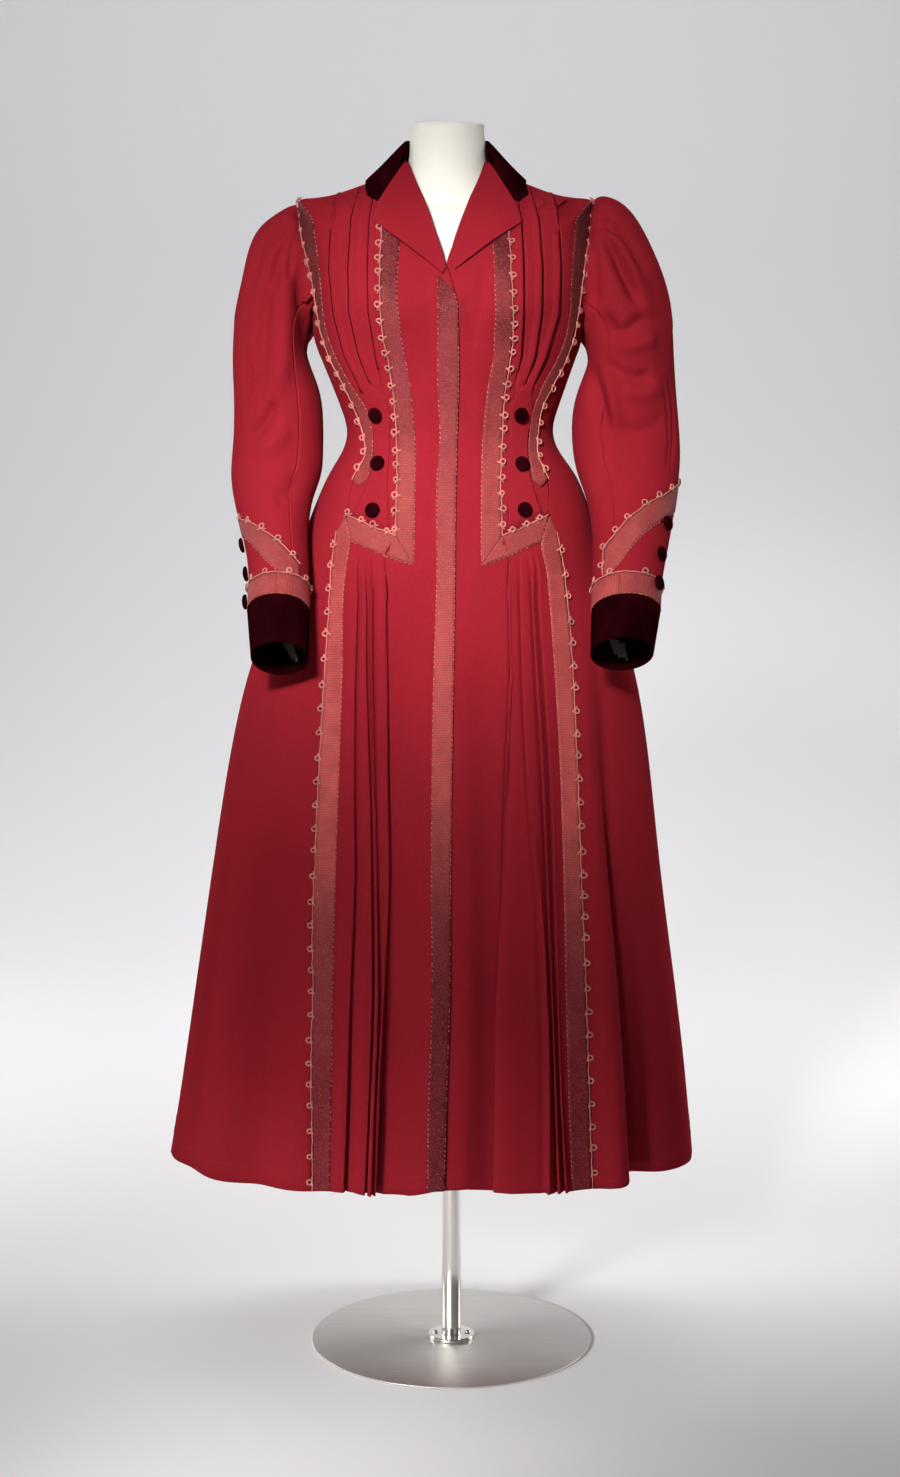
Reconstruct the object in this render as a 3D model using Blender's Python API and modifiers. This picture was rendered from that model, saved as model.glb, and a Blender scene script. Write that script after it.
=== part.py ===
"""Evening coat with gathered sleeves on a limbless dress form with a round steel stand.

Metres, +Z up, the front towards -Y. _r is the wearer's right (-X) and _l the wearer's left (+X).
Tables are in millimetres. A level names a ring round the body by its height at the side seam.
"""

import functools
import math

import bpy
import numpy as np
from mathutils import Matrix, Vector

MM = 0.001

CLOTH = 2.0  # broadcloth and its facing
VELVET = 2.4
RIBBON = 0.9
TAB = 1.4
LINING = 1.0
SEAM = 0.3  # gap between pieces sewn edge to edge
SLEEVE_SEAM = 0.5
LAID = 0.4  # gap under a piece laid on another
TAB_GAP = 0.6
MITRE_GAP = 0.55
FOREARM_GAP = 0.85
ARMHOLE_RIBBON_INSET = 1.2  # at both of its edges
TAB_INSET = 0.6
PAST_CENTRE = -25.0  # how many degrees beyond the centre front a line may lie
ANGLE_STEPS = 40
LEVEL_STEPS = 30
LAST_LEAN = 0.62  # how thin a wall's normals may get at a sharp fold, as a cosine
OVERLAP_RISE = 2.8  # how far the right front stands over the left one
ARMHOLE_GAP = 0.6

BASE_RADIUS = 184.0
BASE_THICK = 3.0
BASE_BEVEL = 0.6
BASE_STEPS = 48
FLANGE_RADIUS = 30.5
FLANGE_THICK = 4.5
FLANGE_BEVEL = 1.0
SCREW_OFFSET = 21.0
SCREW_HEAD = 4.0
POLE_RADIUS = 12.7
POLE_STEPS = 24
BUTTON_RADIUS = 9.5
BUTTON_HEIGHT = 6.0
BUTTON_EDGE = ((2.0, 0), (0, 1.8), (1.6, 4.4))  # in from the rim, up from the cloth
BUTTON_STEPS = 12
# over the tab or the sleeve, r and l, from the top button down
FRONT_BUTTON_RISE = ((1.6, 1.6), (0.6, 0.6), (0.6, 0.1))
SLEEVE_BUTTON_RISE = ((0.9, 2.0), (0.9, 0.9), (2.2, 2.3))

# level, centre x, half width r, half width l, front depth, back depth, z front, z side, z back, roundness
BODY_RINGS = (
    (240, -20, 340, 334, 190, 296, 259, 249, 227, 2.1),
    (370, -19, 322, 321, 180, 272, 370, 370, 370, 2.1),
    (620, -18, 288, 287, 165, 236, 620, 620, 620, 2.1),
    (780, -15, 267, 266, 153, 212, 780, 780, 780, 2.1),
    (900, -12, 242, 242, 143, 188, 900, 900, 900, 2.15),
    (1000, -8, 204, 204, 130, 158, 1000, 1000, 1000, 2.2),
    (1060, -4, 184, 186, 122, 136, 1060, 1060, 1060, 2.2),
    (1118, 0, 165, 167, 110, 110, 1118, 1118, 1118, 2.25),
    (1190, -2, 130, 130, 97, 84, 1190, 1190, 1190, 2.3),
    (1245, -3, 146, 146, 106, 92, 1245, 1245, 1245, 2.3),
    (1310, -5, 168, 169, 123, 106, 1310, 1310, 1310, 2.35),
    (1370, -5, 178, 178, 131, 114, 1352, 1370, 1362, 2.35),
    (1430, -7, 183, 181, 121, 117, 1392, 1430, 1412, 2.3),
    (1474, -8, 181, 181, 99, 112, 1430, 1474, 1455, 2.2),
    (1486, -8, 136, 136, 83, 97, 1456, 1485, 1482, 2.2),
    (1494, -7, 97, 97, 70, 78, 1470, 1499, 1496, 2.1),
    (1505, -6, 62, 62, 57, 60, 1480, 1508, 1509, 2.0),
)
RING_NAMES = ("centre", "half_r", "half_l", "front", "back", "z_front", "z_side", "z_back", "roundness")
BUST = (30, 16, 1345, 45, 9)  # angle, spread, level, spread, rise

LEVELS_SKIRT = (240, 370, 500, 640, 780, 900, 985, 1022)
LEVELS_BODICE = (1133, 1164, 1192, 1220, 1250, 1280, 1310, 1340, 1365, 1400, 1433, 1455, 1474)
LEVELS_NECK = (1480, 1486, 1494, 1505)
SIDE_BAND_LEVELS = (1070, 1091)
FRONT_BAND_LEVELS = (1041, 1066)
NECK_OPEN_LEVEL = 1433
RIBBON_TOP_LEVEL = 1474  # the front ribbons end under the lapels
CENTRE_RIBBON_TOP = 1400
TAB_TIP_LEVEL = 1250
TUCK_FOOT_LEVEL = 1235
ARMHOLE_FOOT = 1310
ARMHOLE_CORNER = 1365  # where the side front, the yoke and the sleeve meet
SHOULDER = 1474

# height, x r, x l: seams, edges and trim as seen from the front
FRONT_EDGE = (
    (255, -9, -24), (375, -6, -21), (500, -2, -17), (650, -1, -16), (813, 1, -14), (989, 4, -11),
    (1086, 5, -10), (1183, 7, -8), (1280, 9, -7), (1351, 7, -8), (1381, -2, -8), (1396, -7, -6),
    (1440, -22, 10), (1525, -52, 41),
)
CENTRE_RIBBON = (
    (255, -30, -6), (400, -28, -3), (512, -24, 1), (672, -25, 2), (892, -22, 5), (1038, -18, 7),
    (1134, -18, 8), (1183, -14, 10), (1256, -17, 11), (1381, -17, 8),
)
FRONT_RIBBON_INNER = (
    (255, -58, 30), (640, -50, 36), (900, -47, 38), (1030, -46, 36), (1093, -45, 36), (1163, -44, 37),
    (1225, -48, 41), (1247, -50, 44), (1275, -55, 50), (1300, -60, 51), (1330, -63, 53), (1360, -66, 52),
    (1420, -63, 50), (1460, -60, 47), (1500, -58, 45),
)
FRONT_SEAM = (
    (255, -99, 57), (300, -95, 58), (500, -84, 60), (650, -78, 65), (789, -79, 68), (889, -80, 73),
    (1035, -82, 70), (1041, -82, 70), (1066, -68.5, 61.5), (1105, -67.5, 60), (1139, -66.5, 60),
    (1190, -67.5, 62), (1217, -69, 63), (1240, -71.5, 65), (1266, -74, 68.5), (1290, -79, 72.5),
    (1317, -84, 74), (1375, -86.5, 72), (1436, -85, 69), (1475, -80, 64), (1503, -66, 54),
)
SIDE_SEAM_FRONT = (
    (240, -173, 176), (382, -172.5, 171), (497, -170.5, 167), (645, -168, 160), (811, -161, 153),
    (911, -155, 148), (950, -152, 145), (1030, -147.5, 137), (1070, -141.5, 129), (1091, -131, 120.5),
    (1133, -123, 119.5), (1150, -112, 110), (1164, -107, 106.5), (1192, -110, 107), (1216, -118, 110),
    (1230, -124.5, 115), (1245, -131, 122), (1260, -138, 131), (1281, -149, 141), (1300, -155, 148),
    (1318, -161, 152), (1354, -167, 157),
)
SKIRT_RIBBON_INNER = (
    (255, -151, 150), (412, -148, 143.5), (584, -144.5, 139.5), (712, -140.5, 136.5), (823, -136.5, 131),
    (907, -134, 126), (990, -133, 119.5), (1036, -128, 115), (1057, -125, 110),
)
ARMHOLE_RIBBON_INNER = (
    (1066, -98, 90), (1125, -105, 99), (1140, -99.5, 97), (1160, -96.5, 94), (1180, -96, 94), (1209, -98, 97),
    (1232, -113, 103), (1243, -119, 107), (1266, -133, 121), (1286, -142, 130), (1307, -150, 138),
    (1325, -155, 142), (1348, -157, 144), (1398, -161, 146), (1440, -168, 150), (1470, -172, 155),
)
TAB_INNER = ((1066, -83, 69), (1122, -79.5, 70), (1170, -76, 72), (1220, -76, 72), (1235, -80, 74))

# height, then the fold lines counted from the centre front outwards
TUCK_LINES_R = (
    (1235, -85, -97, -109), (1250, -86, -99.5, -114), (1284, -92, -112.5, -131), (1336, -100, -124, -144),
    (1390, -101, -125, -149), (1450, -99, -121.5, -146), (1495, -92, -112, -138),
)
TUCK_LINES_L = (
    (1235, 77, 87, 97), (1250, 77, 89, 100), (1284, 84, 101, 115), (1336, 86, 108, 130),
    (1390, 86, 109, 132), (1450, 83.5, 105, 129), (1495, 76, 94, 122),
)
PLEAT_LINES_R = (
    (255, -109, -102.5, -134), (360, -104, -98.5, -130), (500, -99, -93, -126), (650, -100, -94, -120),
    (740, -101, -95, -121), (890, -106, -98, -119.5), (1050, -106, -98, -115),
)
PLEAT_LINES_L = (
    (255, 118, 133, 143), (360, 118, 130, 137), (500, 115, 125, 132), (650, 106, 118, 127),
    (740, 96, 114, 124), (890, 88, 105, 115), (1050, 84, 97, 105),
)
BAND_LOWER_R = ((-46, 1030), (-55, 1030), (-82, 1041), (-104, 1050), (-125, 1058))
BAND_LOWER_L = ((36, 1029), (43, 1030), (70, 1041), (90, 1050), (110, 1057))
BAND_UPPER_R = ((-68.5, 1066), (-100, 1078), (-131, 1091))
BAND_UPPER_L = ((61.5, 1066), (90, 1077), (120.5, 1091))
TUCK_DEPTH = 1.3
TUCK_FADE = 30
TUCK_STEP = 1.6
TUCK_SHARES = (0.2, 0.24, 0.45, 0.49, 0.72, 0.76)  # across the shoulder slope
ARMHOLE_RIBBON_SHARE = 0.88  # where its inner edge lies across the shoulder slope
ARMHOLE_RIBBON_LEAST = 2.5  # degrees
SHOULDER_RIBBON_SHARE = 0.93  # of the shoulder point's angle
STEP_WIDTH = 2.2  # how fast a fold edge drops, across
# level, height of a knife pleat's fold edge over the layer under it
PLEAT_HEIGHT = ((240, 8.0), (500, 6.0), (780, 4.6), (985, 3.2), (1022, 2.4), (1041, 0.0), (1091, 0.0))
# level, how far the front sinks beside the first pleat
FRONT_TROUGH = ((240, 15.0), (500, 12.0), (780, 8.0), (985, 2.5), (1022, 0.8), (1041, 0.0), (1505, 0.0))

# level, angle from the centre front
ARMHOLE_FRONT = ((1310, 90), (1340, 74), (1365, 69), (1400, 72), (1433, 78), (1455, 83.5), (1474, 90))
ARMHOLE_BACK = ((1310, 90), (1340, 105), (1365, 111), (1400, 110), (1433, 104), (1455, 97.5), (1474, 90))
BACK_SEAM = (
    (240, 136), (620, 140), (1000, 147), (1190, 155), (1250, 149), (1310, 137), (1340, 126), (1365, 111),
)

# angle at the hem, angle at the hip, half width, rise at the hem: soft folds of the skirt
SKIRT_FOLDS = (
    (-50, -52, 4.5, 7), (-63, -62, 5, 9), (-77, -75, 5, 8), (-91, -88, 5, 6), (-106, -103, 5.5, 12),
    (-121, -120, 5.5, 15), (-137, -138, 6, 13), (-153, -154, 6, 17), (-171, -170, 5, 20),
    (62, 58, 4.5, 13), (70, 67, 4, -9), (80, 79, 5, 9), (94, 91, 5, 6), (110, 107, 5.5, 14),
    (126, 124, 6, 12), (141, 142, 5.5, 16), (156, 156, 6, 14), (171, 171, 5, 20),
)
FOLD_TOP = 1040

# out x, out z, in x, in z, centre y, half depth, forward tilt: sections down the sleeve
SLEEVE_R = (
    (-202, 1469, -179, 1303, 0, 61, 0), (-222, 1457, -181, 1297, 0, 66, 0),
    (-244, 1436, -182, 1289, 0, 68, 0), (-259, 1395, -179, 1276, 0, 68, 0),
    (-270, 1340, -172, 1258, -1, 66, 0), (-275, 1285, -165, 1235, -2, 63, 0),
    (-274, 1232, -162, 1206, -4, 60, 2), (-275, 1180, -162, 1168, -9, 57, 6),
    (-277, 1140, -165, 1134, -24, 54, 14), (-271, 1103, -175, 1103, -48, 51, 23),
    (-259, 1062, -178, 1062, -78, 47, 30), (-251.5, 1028, -175.5, 1028, -101, 45, 33),
    (-249.5, 1000, -174.5, 1000, -119.5, 44, 33), (-249, 976, -174.5, 976, -135, 43.5, 33),
)
SLEEVE_L = (
    (185, 1481, 163, 1303, 0, 61, 0), (206, 1476, 167, 1297, 0, 67, 0),
    (230, 1454, 170, 1289, 0, 70, 0), (257, 1403, 171, 1276, 0, 70, 0),
    (274, 1345, 165, 1258, -1, 68, 0), (279, 1288, 157, 1235, -2, 65, 0),
    (283, 1235, 152, 1206, -4, 61, 2), (287.5, 1180, 153, 1168, -9, 58, 6),
    (286, 1140, 160, 1134, -24, 55, 14), (280, 1103, 170, 1103, -48, 52, 23),
    (271, 1062, 175, 1062, -78, 48, 30), (263, 1028, 174, 1028, -101, 46, 33),
    (257.5, 1000, 173, 1000, -119.5, 45, 33), (255, 976, 172, 976, -135, 44, 33),
)
CUFF_R = ((-250.5, 975.5, -173.5, 975.5, -135.4, 44.4, 33), (-244, 921, -173.5, 921, -170, 43.5, 34))
CUFF_L = ((256, 975.5, 171, 975.5, -135.4, 45, 33), (245.5, 926, 168.5, 926, -167, 43.5, 34))
LINING_SPAN = (0.25, 0.8)  # of the cuff's length
BAND_ROW = 12  # the last sleeve section above its lower ribbon
FOREARM_COLUMNS = 10
FOREARM_CLEAR = 2  # from the ribbon below it
FOREARM_LEAST = 6  # its width where it runs into that one
SLEEVE_SIDES = 24
SEAM_SIDE = 8
GATHER_SIDES = 6
GATHERS = (0.0, 1.8, 2.6, 2.4, 1.7, 1.0, 0.5)  # ridge height at each section from the armhole down
# x, z of the slanting ribbon's edges, then of its ends round the sleeve
FOREARM_UPPER_R = (
    (-270, 1087), (-263, 1086), (-245, 1081), (-224, 1069), (-203, 1052), (-189, 1035), (-178, 1020),
)
FOREARM_LOWER_R = (
    (-270, 1065), (-252, 1061), (-240, 1051), (-227, 1038), (-213.5, 1028), (-202, 1015), (-178, 1005),
)
FOREARM_UPPER_L = (
    (175, 1028), (189, 1052), (206, 1075), (225.5, 1094), (250, 1109), (268, 1118), (282, 1128),
)
FOREARM_LOWER_L = (
    (175, 1005), (189, 1011), (201, 1029), (215, 1048), (238, 1071.5), (256, 1082), (282, 1096),
)

# roll line x, z, outer edge x, z, lift at the roll line, lift at the edge: where the lapel lies on the front
LAPEL_R = (
    (-7, 1391, -10.5, 1381, 7.0, 7.0), (-14, 1416, -34, 1400, 5.0, 6.5), (-22, 1440, -62, 1421, 4.6, 6.0),
    (-28, 1458, -90, 1442, 4.8, 6.0), (-32, 1467, -96, 1451, 5.2, 6.2), (-35, 1474, -94, 1458, 5.5, 6.8),
)
LAPEL_L = (
    (-2.5, 1397, 4, 1388, 3.0, 3.0), (1, 1416, 21, 1400, 3.4, 4.6), (9, 1440, 50, 1421, 4.6, 6.0),
    (16, 1458, 79, 1440, 4.8, 6.0), (20, 1467, 84.5, 1446, 5.2, 6.2), (23, 1474, 82, 1455, 5.5, 6.8),
)
# roll line x, y, z, outer edge x, y, z: the lapel where it rises over the collar to the neck
LAPEL_NECK_R = ((-44, -53, 1499, -84, -74, 1482), (-53, -33, 1523, -59, -38, 1521))
LAPEL_NECK_L = ((32, -53, 1499, 73, -75, 1479), (41, -33, 1523, 47, -38, 1521))
LAPEL_SPANS = 4
# angle of the fold, angle of the outer edge, fold radius, fold z, level of the outer edge
COLLAR = (
    (180, 180, 51.5, 1552, 1491), (160, 160, 51.5, 1551, 1491), (140, 140, 51.5, 1550, 1491.5),
    (120, 120, 51.2, 1549, 1492.5), (102, 100, 51, 1548, 1493.5), (88, 83, 50.8, 1546, 1493.5),
    (78, 69, 51, 1541, 1491), (70, 58, 52, 1534, 1487.5),
)
COLLAR_CENTRE = -6
COLLAR_ROLL = 4.5  # from the stand across the fold to the fall
COLLAR_DIP = 24
COLLAR_HOLLOW = 1.0  # of the fall, half way down
COLLAR_FOOT = (58.5, 1511.5)
COLLAR_LIFT = 4.6

# level, inset of the form from the coat's outer face
FORM_INSET = (
    (960, 26), (1000, 17), (1060, 12), (1118, 9), (1190, 5.5), (1250, 6.5), (1310, 7), (1400, 6), (1435, 8),
    (1455, 11), (1474, 10), (1480, 8), (1486, 7.2), (1495, 8.3), (1505, 3.4),
)
FORM_FOOT = 955
FORM_LEVELS = (
    975, 1020, 1070, 1118, 1160, 1192, 1225, 1265, 1310, 1355, 1400, 1435, 1458, 1474, 1480, 1487, 1495, 1505,
)
FORM_SIDES = 26
FORM_NECK_CENTRE = -5
# z, half width, front, back
FORM_NECK = ((1522, 49.5, 47.5, 50), (1548, 47, 45, 48), (1566, 45, 43, 46), (1571, 41, 38, 42))

FRONT_BUTTONS_R = ((-92, 1214), (-90, 1153), (-96, 1096))
FRONT_BUTTONS_L = ((83, 1214), (85.5, 1152), (89, 1097))
SLEEVE_BUTTON_HEIGHTS = ((1053, 1080), (1019, 1044), (986, 1010))
SLEEVE_BUTTON_ANGLE = (-2, 34)

COLOURS = {
    # name: colour, roughness, metallic
    "broadcloth": ((0.30, 0.012, 0.022), 0.85, 0.0),
    "ribbon": ((0.22, 0.045, 0.04), 0.55, 0.0),
    "velvet": ((0.035, 0.003, 0.008), 0.9, 0.0),
    "lining": ((0.42, 0.36, 0.28), 0.75, 0.0),
    "form_cover": ((0.86, 0.84, 0.79), 0.8, 0.0),
    "brushed_steel": ((0.56, 0.54, 0.51), 0.38, 1.0),
    "polished_steel": ((0.60, 0.58, 0.54), 0.16, 1.0),
}


def clear_scene():
    for thing in list(bpy.data.objects):
        bpy.data.objects.remove(thing, do_unlink=True)


def make_material(name):
    colour, roughness, metallic = COLOURS[name]
    material = bpy.data.materials.new(name)
    material.use_nodes = True
    shader = material.node_tree.nodes["Principled BSDF"]
    shader.inputs["Base Color"].default_value = (*colour, 1.0)
    shader.inputs["Roughness"].default_value = roughness
    shader.inputs["Metallic"].default_value = metallic
    return material


class Curve:
    """A smooth line through a table's points that never swings past them."""

    def __init__(self, rows, column=1):
        rows = sorted(rows)
        self.x = np.array([row[0] for row in rows], float)
        self.y = np.array([row[column] for row in rows], float)
        steps = np.diff(self.x)
        slopes = np.diff(self.y) / steps
        self.slope = np.zeros(len(self.x))
        self.slope[0], self.slope[-1] = slopes[0], slopes[-1]
        for k in range(1, len(self.x) - 1):
            if slopes[k - 1] * slopes[k] > 0:
                self.slope[k] = 2 * slopes[k - 1] * slopes[k] / (slopes[k - 1] + slopes[k])

    def __call__(self, at):
        at = min(max(at, self.x[0]), self.x[-1])
        k = min(max(int(np.searchsorted(self.x, at)) - 1, 0), len(self.x) - 2)
        span = self.x[k + 1] - self.x[k]
        t = (at - self.x[k]) / span
        rise = self.y[k + 1] - self.y[k]
        start, end = self.slope[k] * span, self.slope[k + 1] * span
        return self.y[k] + t * (start + t * (3 * rise - 2 * start - end + t * (start + end - 2 * rise)))


def sides(table):
    """The line on the right side and the one on the left side, from a height, x r, x l table."""
    return {-1: Curve(table, 1), 1: Curve(table, 2)}


RINGS = {name: Curve(BODY_RINGS, k + 1) for k, name in enumerate(RING_NAMES)}
FRONT_EDGE_LINE = sides(FRONT_EDGE)
CENTRE_RIBBON_LINE = sides(CENTRE_RIBBON)
RIBBON_INNER_LINE = sides(FRONT_RIBBON_INNER)
FRONT_SEAM_LINE = sides(FRONT_SEAM)
SIDE_SEAM_FRONT_LINE = sides(SIDE_SEAM_FRONT)
SKIRT_RIBBON_LINE = sides(SKIRT_RIBBON_INNER)
ARMHOLE_RIBBON_LINE = sides(ARMHOLE_RIBBON_INNER)
TAB_LINE = sides(TAB_INNER)
TUCKS = {-1: [Curve(TUCK_LINES_R, k) for k in (1, 2, 3)], 1: [Curve(TUCK_LINES_L, k) for k in (1, 2, 3)]}
PLEATS = {-1: [Curve(PLEAT_LINES_R, k) for k in (2, 1, 3)], 1: [Curve(PLEAT_LINES_L, k) for k in (1, 2, 3)]}
BAND_LOWER = {-1: Curve(BAND_LOWER_R), 1: Curve(BAND_LOWER_L)}
BAND_UPPER = {-1: Curve(BAND_UPPER_R), 1: Curve(BAND_UPPER_L)}
BAND_ENDS = {-1: (-68.5, -131), 1: (61.5, 120.5)}
BAND_FOOT_ENDS = {-1: (-82, -125), 1: (70, 110)}
ARMHOLE_FRONT_LINE = Curve(ARMHOLE_FRONT)
ARMHOLE_BACK_LINE = Curve(ARMHOLE_BACK)
BACK_SEAM_LINE = Curve(BACK_SEAM)
PLEAT_HEIGHT_LINE = Curve(PLEAT_HEIGHT)
TROUGH_LINE = Curve(FRONT_TROUGH)
FORM_INSET_LINE = Curve(FORM_INSET)


@functools.lru_cache(maxsize=None)
def ring(level):
    return {name: curve(level) for name, curve in RINGS.items()}


def smooth_step(t):
    t = min(max(t, 0.0), 1.0)
    return t * t * (3 - 2 * t)


def fold_rise(angle, level):
    """How far the skirt's soft folds stand out here."""
    grow = smooth_step((FOLD_TOP - level) / (FOLD_TOP - BODY_RINGS[0][0]))
    if not grow:
        return 0.0
    total = 0.0
    for at_hem, at_hip, width, rise in SKIRT_FOLDS:
        middle = at_hip + (at_hem - at_hip) * grow
        away = (angle - middle + 180) % 360 - 180
        total += rise * math.exp(-((away / width) ** 2))
    return total * grow


def smooth_point(angle, level):
    """The body's smooth outer face. The angle is in degrees from the centre front, + towards the left."""
    here = ring(level)
    s, c = math.sin(math.radians(angle)), math.cos(math.radians(angle))
    wide = here["half_l"] if s > 0 else here["half_r"]
    deep = here["front"] if c > 0 else here["back"]
    power = here["roundness"]
    radius = (abs(c / deep) ** power + abs(s / wide) ** power) ** (-1 / power)
    at, spread, bust_level, bust_spread, rise = BUST
    across, up = (abs(angle) - at) / spread, (level - bust_level) / bust_spread
    radius += rise * math.exp(-(across**2) - up**2)
    end = here["z_front"] if c > 0 else here["z_back"]
    height = here["z_side"] + (end - here["z_side"]) * c * c
    return np.array((here["centre"] + radius * s, -radius * c, height))


def smooth_normal(angle, level):
    low, high = max(level - 2, BODY_RINGS[0][0]), min(level + 2, BODY_RINGS[-1][0])
    across = smooth_point(angle + 0.5, level) - smooth_point(angle - 0.5, level)
    along = smooth_point(angle, high) - smooth_point(angle, low)
    normal = np.cross(across, along)
    return normal / np.linalg.norm(normal)


def angle_on(line, level, side):
    """The angle where this level meets a line given as x at each height, seen from the front."""
    low, high = PAST_CENTRE, 90.0
    for _ in range(ANGLE_STEPS):
        middle = (low + high) / 2
        x, _, z = smooth_point(side * middle, level)
        if side * (x - line(z)) > 0:
            high = middle
        else:
            low = middle
    return side * low


def spot_on(x, z, side):
    """The angle and level of the point seen from the front at x and z."""
    low, high = BODY_RINGS[0][0], BODY_RINGS[-1][0]
    for _ in range(LEVEL_STEPS):
        level = (low + high) / 2
        angle = angle_on(lambda _: x, level, side)
        if smooth_point(angle, level)[2] < z:
            low = level
        else:
            high = level
    return angle, level


def unit(vectors):
    length = np.linalg.norm(vectors, axis=-1, keepdims=True)
    return vectors / np.where(length < 1e-9, 1, length)


def mesh_normals(points, fallback, wrap=False):
    """A normal at each point of a grid, longer at a sharp fold so that the wall keeps its thickness."""
    rows, columns = points.shape[:2]
    total = np.zeros_like(points)
    faces = [[[] for _ in range(columns)] for _ in range(rows)]
    last = columns if wrap else columns - 1
    for i in range(rows - 1):
        for j in range(last):
            k = (j + 1) % columns
            face = np.cross(points[i + 1, k] - points[i, j], points[i + 1, j] - points[i, k])
            if np.linalg.norm(face) < 1e-6:
                continue
            face = face / np.linalg.norm(face)
            if face @ fallback[i, j] < 0:
                face = -face
            for a, b in ((i, j), (i, k), (i + 1, j), (i + 1, k)):
                total[a, b] += face
                faces[a][b].append(face)
    normals = unit(total)
    for i in range(rows):
        for j in range(columns):
            if not faces[i][j]:
                normals[i, j] = fallback[i, j]
                continue
            lean = min(face @ normals[i, j] for face in faces[i][j])
            normals[i, j] /= max(lean, LAST_LEAN)
    return normals


EDGE_CELLS = {"left": (slice(None), 0), "right": (slice(None), -1), "foot": (0,), "top": (-1,)}
NEXT_CELLS = {"left": (slice(None), 1), "right": (slice(None), -2), "foot": (1,), "top": (-2,)}


def drawn_in(points, normals, edges, seam=SEAM):
    """The grid with the named edges moved half a seam's width into the piece."""
    moved = points.copy()
    for edge in edges:
        along_rows = edge in ("left", "right")
        border = points[EDGE_CELLS[edge]]
        inner = points[NEXT_CELLS[edge]]
        upright = normals[EDGE_CELLS[edge]]
        tangent = unit(np.gradient(border, axis=0))
        inward = unit(np.cross(upright, tangent))
        if np.sum(inward * (inner - border)) < 0:
            inward = -inward
        moved[EDGE_CELLS[edge]] += inward * seam / 2
    return moved


def shell(name, outer, inner, material, wrap=False):
    """A closed wall between two matching grids. Points that coincide are made one."""
    rows, columns = outer.shape[:2]
    corners, numbers, where = [], {}, {}
    for layer, grid in enumerate((outer, inner)):
        for i in range(rows):
            for j in range(columns):
                key = (layer, *np.round(grid[i, j] * 1000).astype(int))
                if key not in numbers:
                    numbers[key] = len(corners)
                    corners.append(grid[i, j] * MM)
                where[layer, i, j] = numbers[key]
    faces = []
    last = columns if wrap else columns - 1
    for i in range(rows - 1):
        for j in range(last):
            k = (j + 1) % columns
            for layer in (0, 1):
                a, b = where[layer, i, j], where[layer, i, k]
                c, d = where[layer, i + 1, k], where[layer, i + 1, j]
                for face in ((a, b, c), (a, c, d)):
                    faces.append(face if layer == 0 else face[::-1])
    rim = []
    if wrap:
        rim.append([(0, j % columns) for j in range(columns + 1)])
        rim.append([(rows - 1, (columns - j) % columns) for j in range(columns + 1)])
    else:
        round_it = [(0, j) for j in range(columns)] + [(i, columns - 1) for i in range(1, rows)]
        round_it += [(rows - 1, j) for j in range(columns - 2, -1, -1)]
        round_it += [(i, 0) for i in range(rows - 2, -1, -1)]
        rim.append(round_it)
    for path in rim:
        for (i, j), (k, m) in zip(path, path[1:]):
            a, b = where[0, i, j], where[0, k, m]
            c, d = where[1, i, j], where[1, k, m]
            faces.append((b, a, c))
            faces.append((b, c, d))
    faces = [face for face in faces if len(set(face)) == 3]
    return add_mesh(name, corners, faces, material)


def add_mesh(name, corners, faces, material):
    """A mesh object with its faces turned outwards."""
    corners = np.array(corners)
    triangles = corners[np.array([face[:3] for face in faces])]
    if len(faces[0]) == 3 and np.linalg.det(triangles - corners.mean(axis=0)).sum() < 0:
        faces = [face[::-1] for face in faces]
    mesh = bpy.data.meshes.new(name)
    mesh.from_pydata([tuple(corner) for corner in corners], [], [tuple(face) for face in faces])
    mesh.update()
    thing = bpy.data.objects.new(name, mesh)
    mesh.materials.append(MATERIALS[material])
    COLLECTION.objects.link(thing)
    return thing


def panel(name, spots, lifts, seams, material="broadcloth", thickness=CLOTH):
    """A cloth panel over a grid of (angle, level) spots, each lifted off the smooth body."""
    rows, columns = len(spots), len(spots[0])
    base = np.array([[smooth_point(*spot) for spot in row] for row in spots])
    upright = np.array([[smooth_normal(*spot) for spot in row] for row in spots])
    rise = np.array([[fold_rise(*spot) for spot in row] for row in spots]) + np.array(lifts)
    points = drawn_in(base + upright * rise[..., None], upright, seams)
    normals = mesh_normals(points, upright)
    for edge, target in EDGE_CELLS.items():
        if edge in seams:
            normals[target] = upright[target]
    shell(name, points, points - normals * thickness, material)
    return points, normals


def laid(name, bars, material, thickness, gap=LAID, wrap=False):
    """A strip laid on a panel: bars holds rows of (point, normal) taken from the panel under it."""
    points = np.array([[spot[0] for spot in bar] for bar in bars])
    normals = np.array([[spot[1] for spot in bar] for bar in bars])
    return shell(name, points + normals * (gap + thickness), points + normals * gap, material, wrap)


def between(first, last, count):
    return [first + (last - first) * k / count for k in range(count + 1)]


def side_name(side):
    return "r" if side < 0 else "l"


def column_of(side):
    """Which of a table's two last columns this side reads."""
    return 0 if side < 0 else 1


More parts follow.
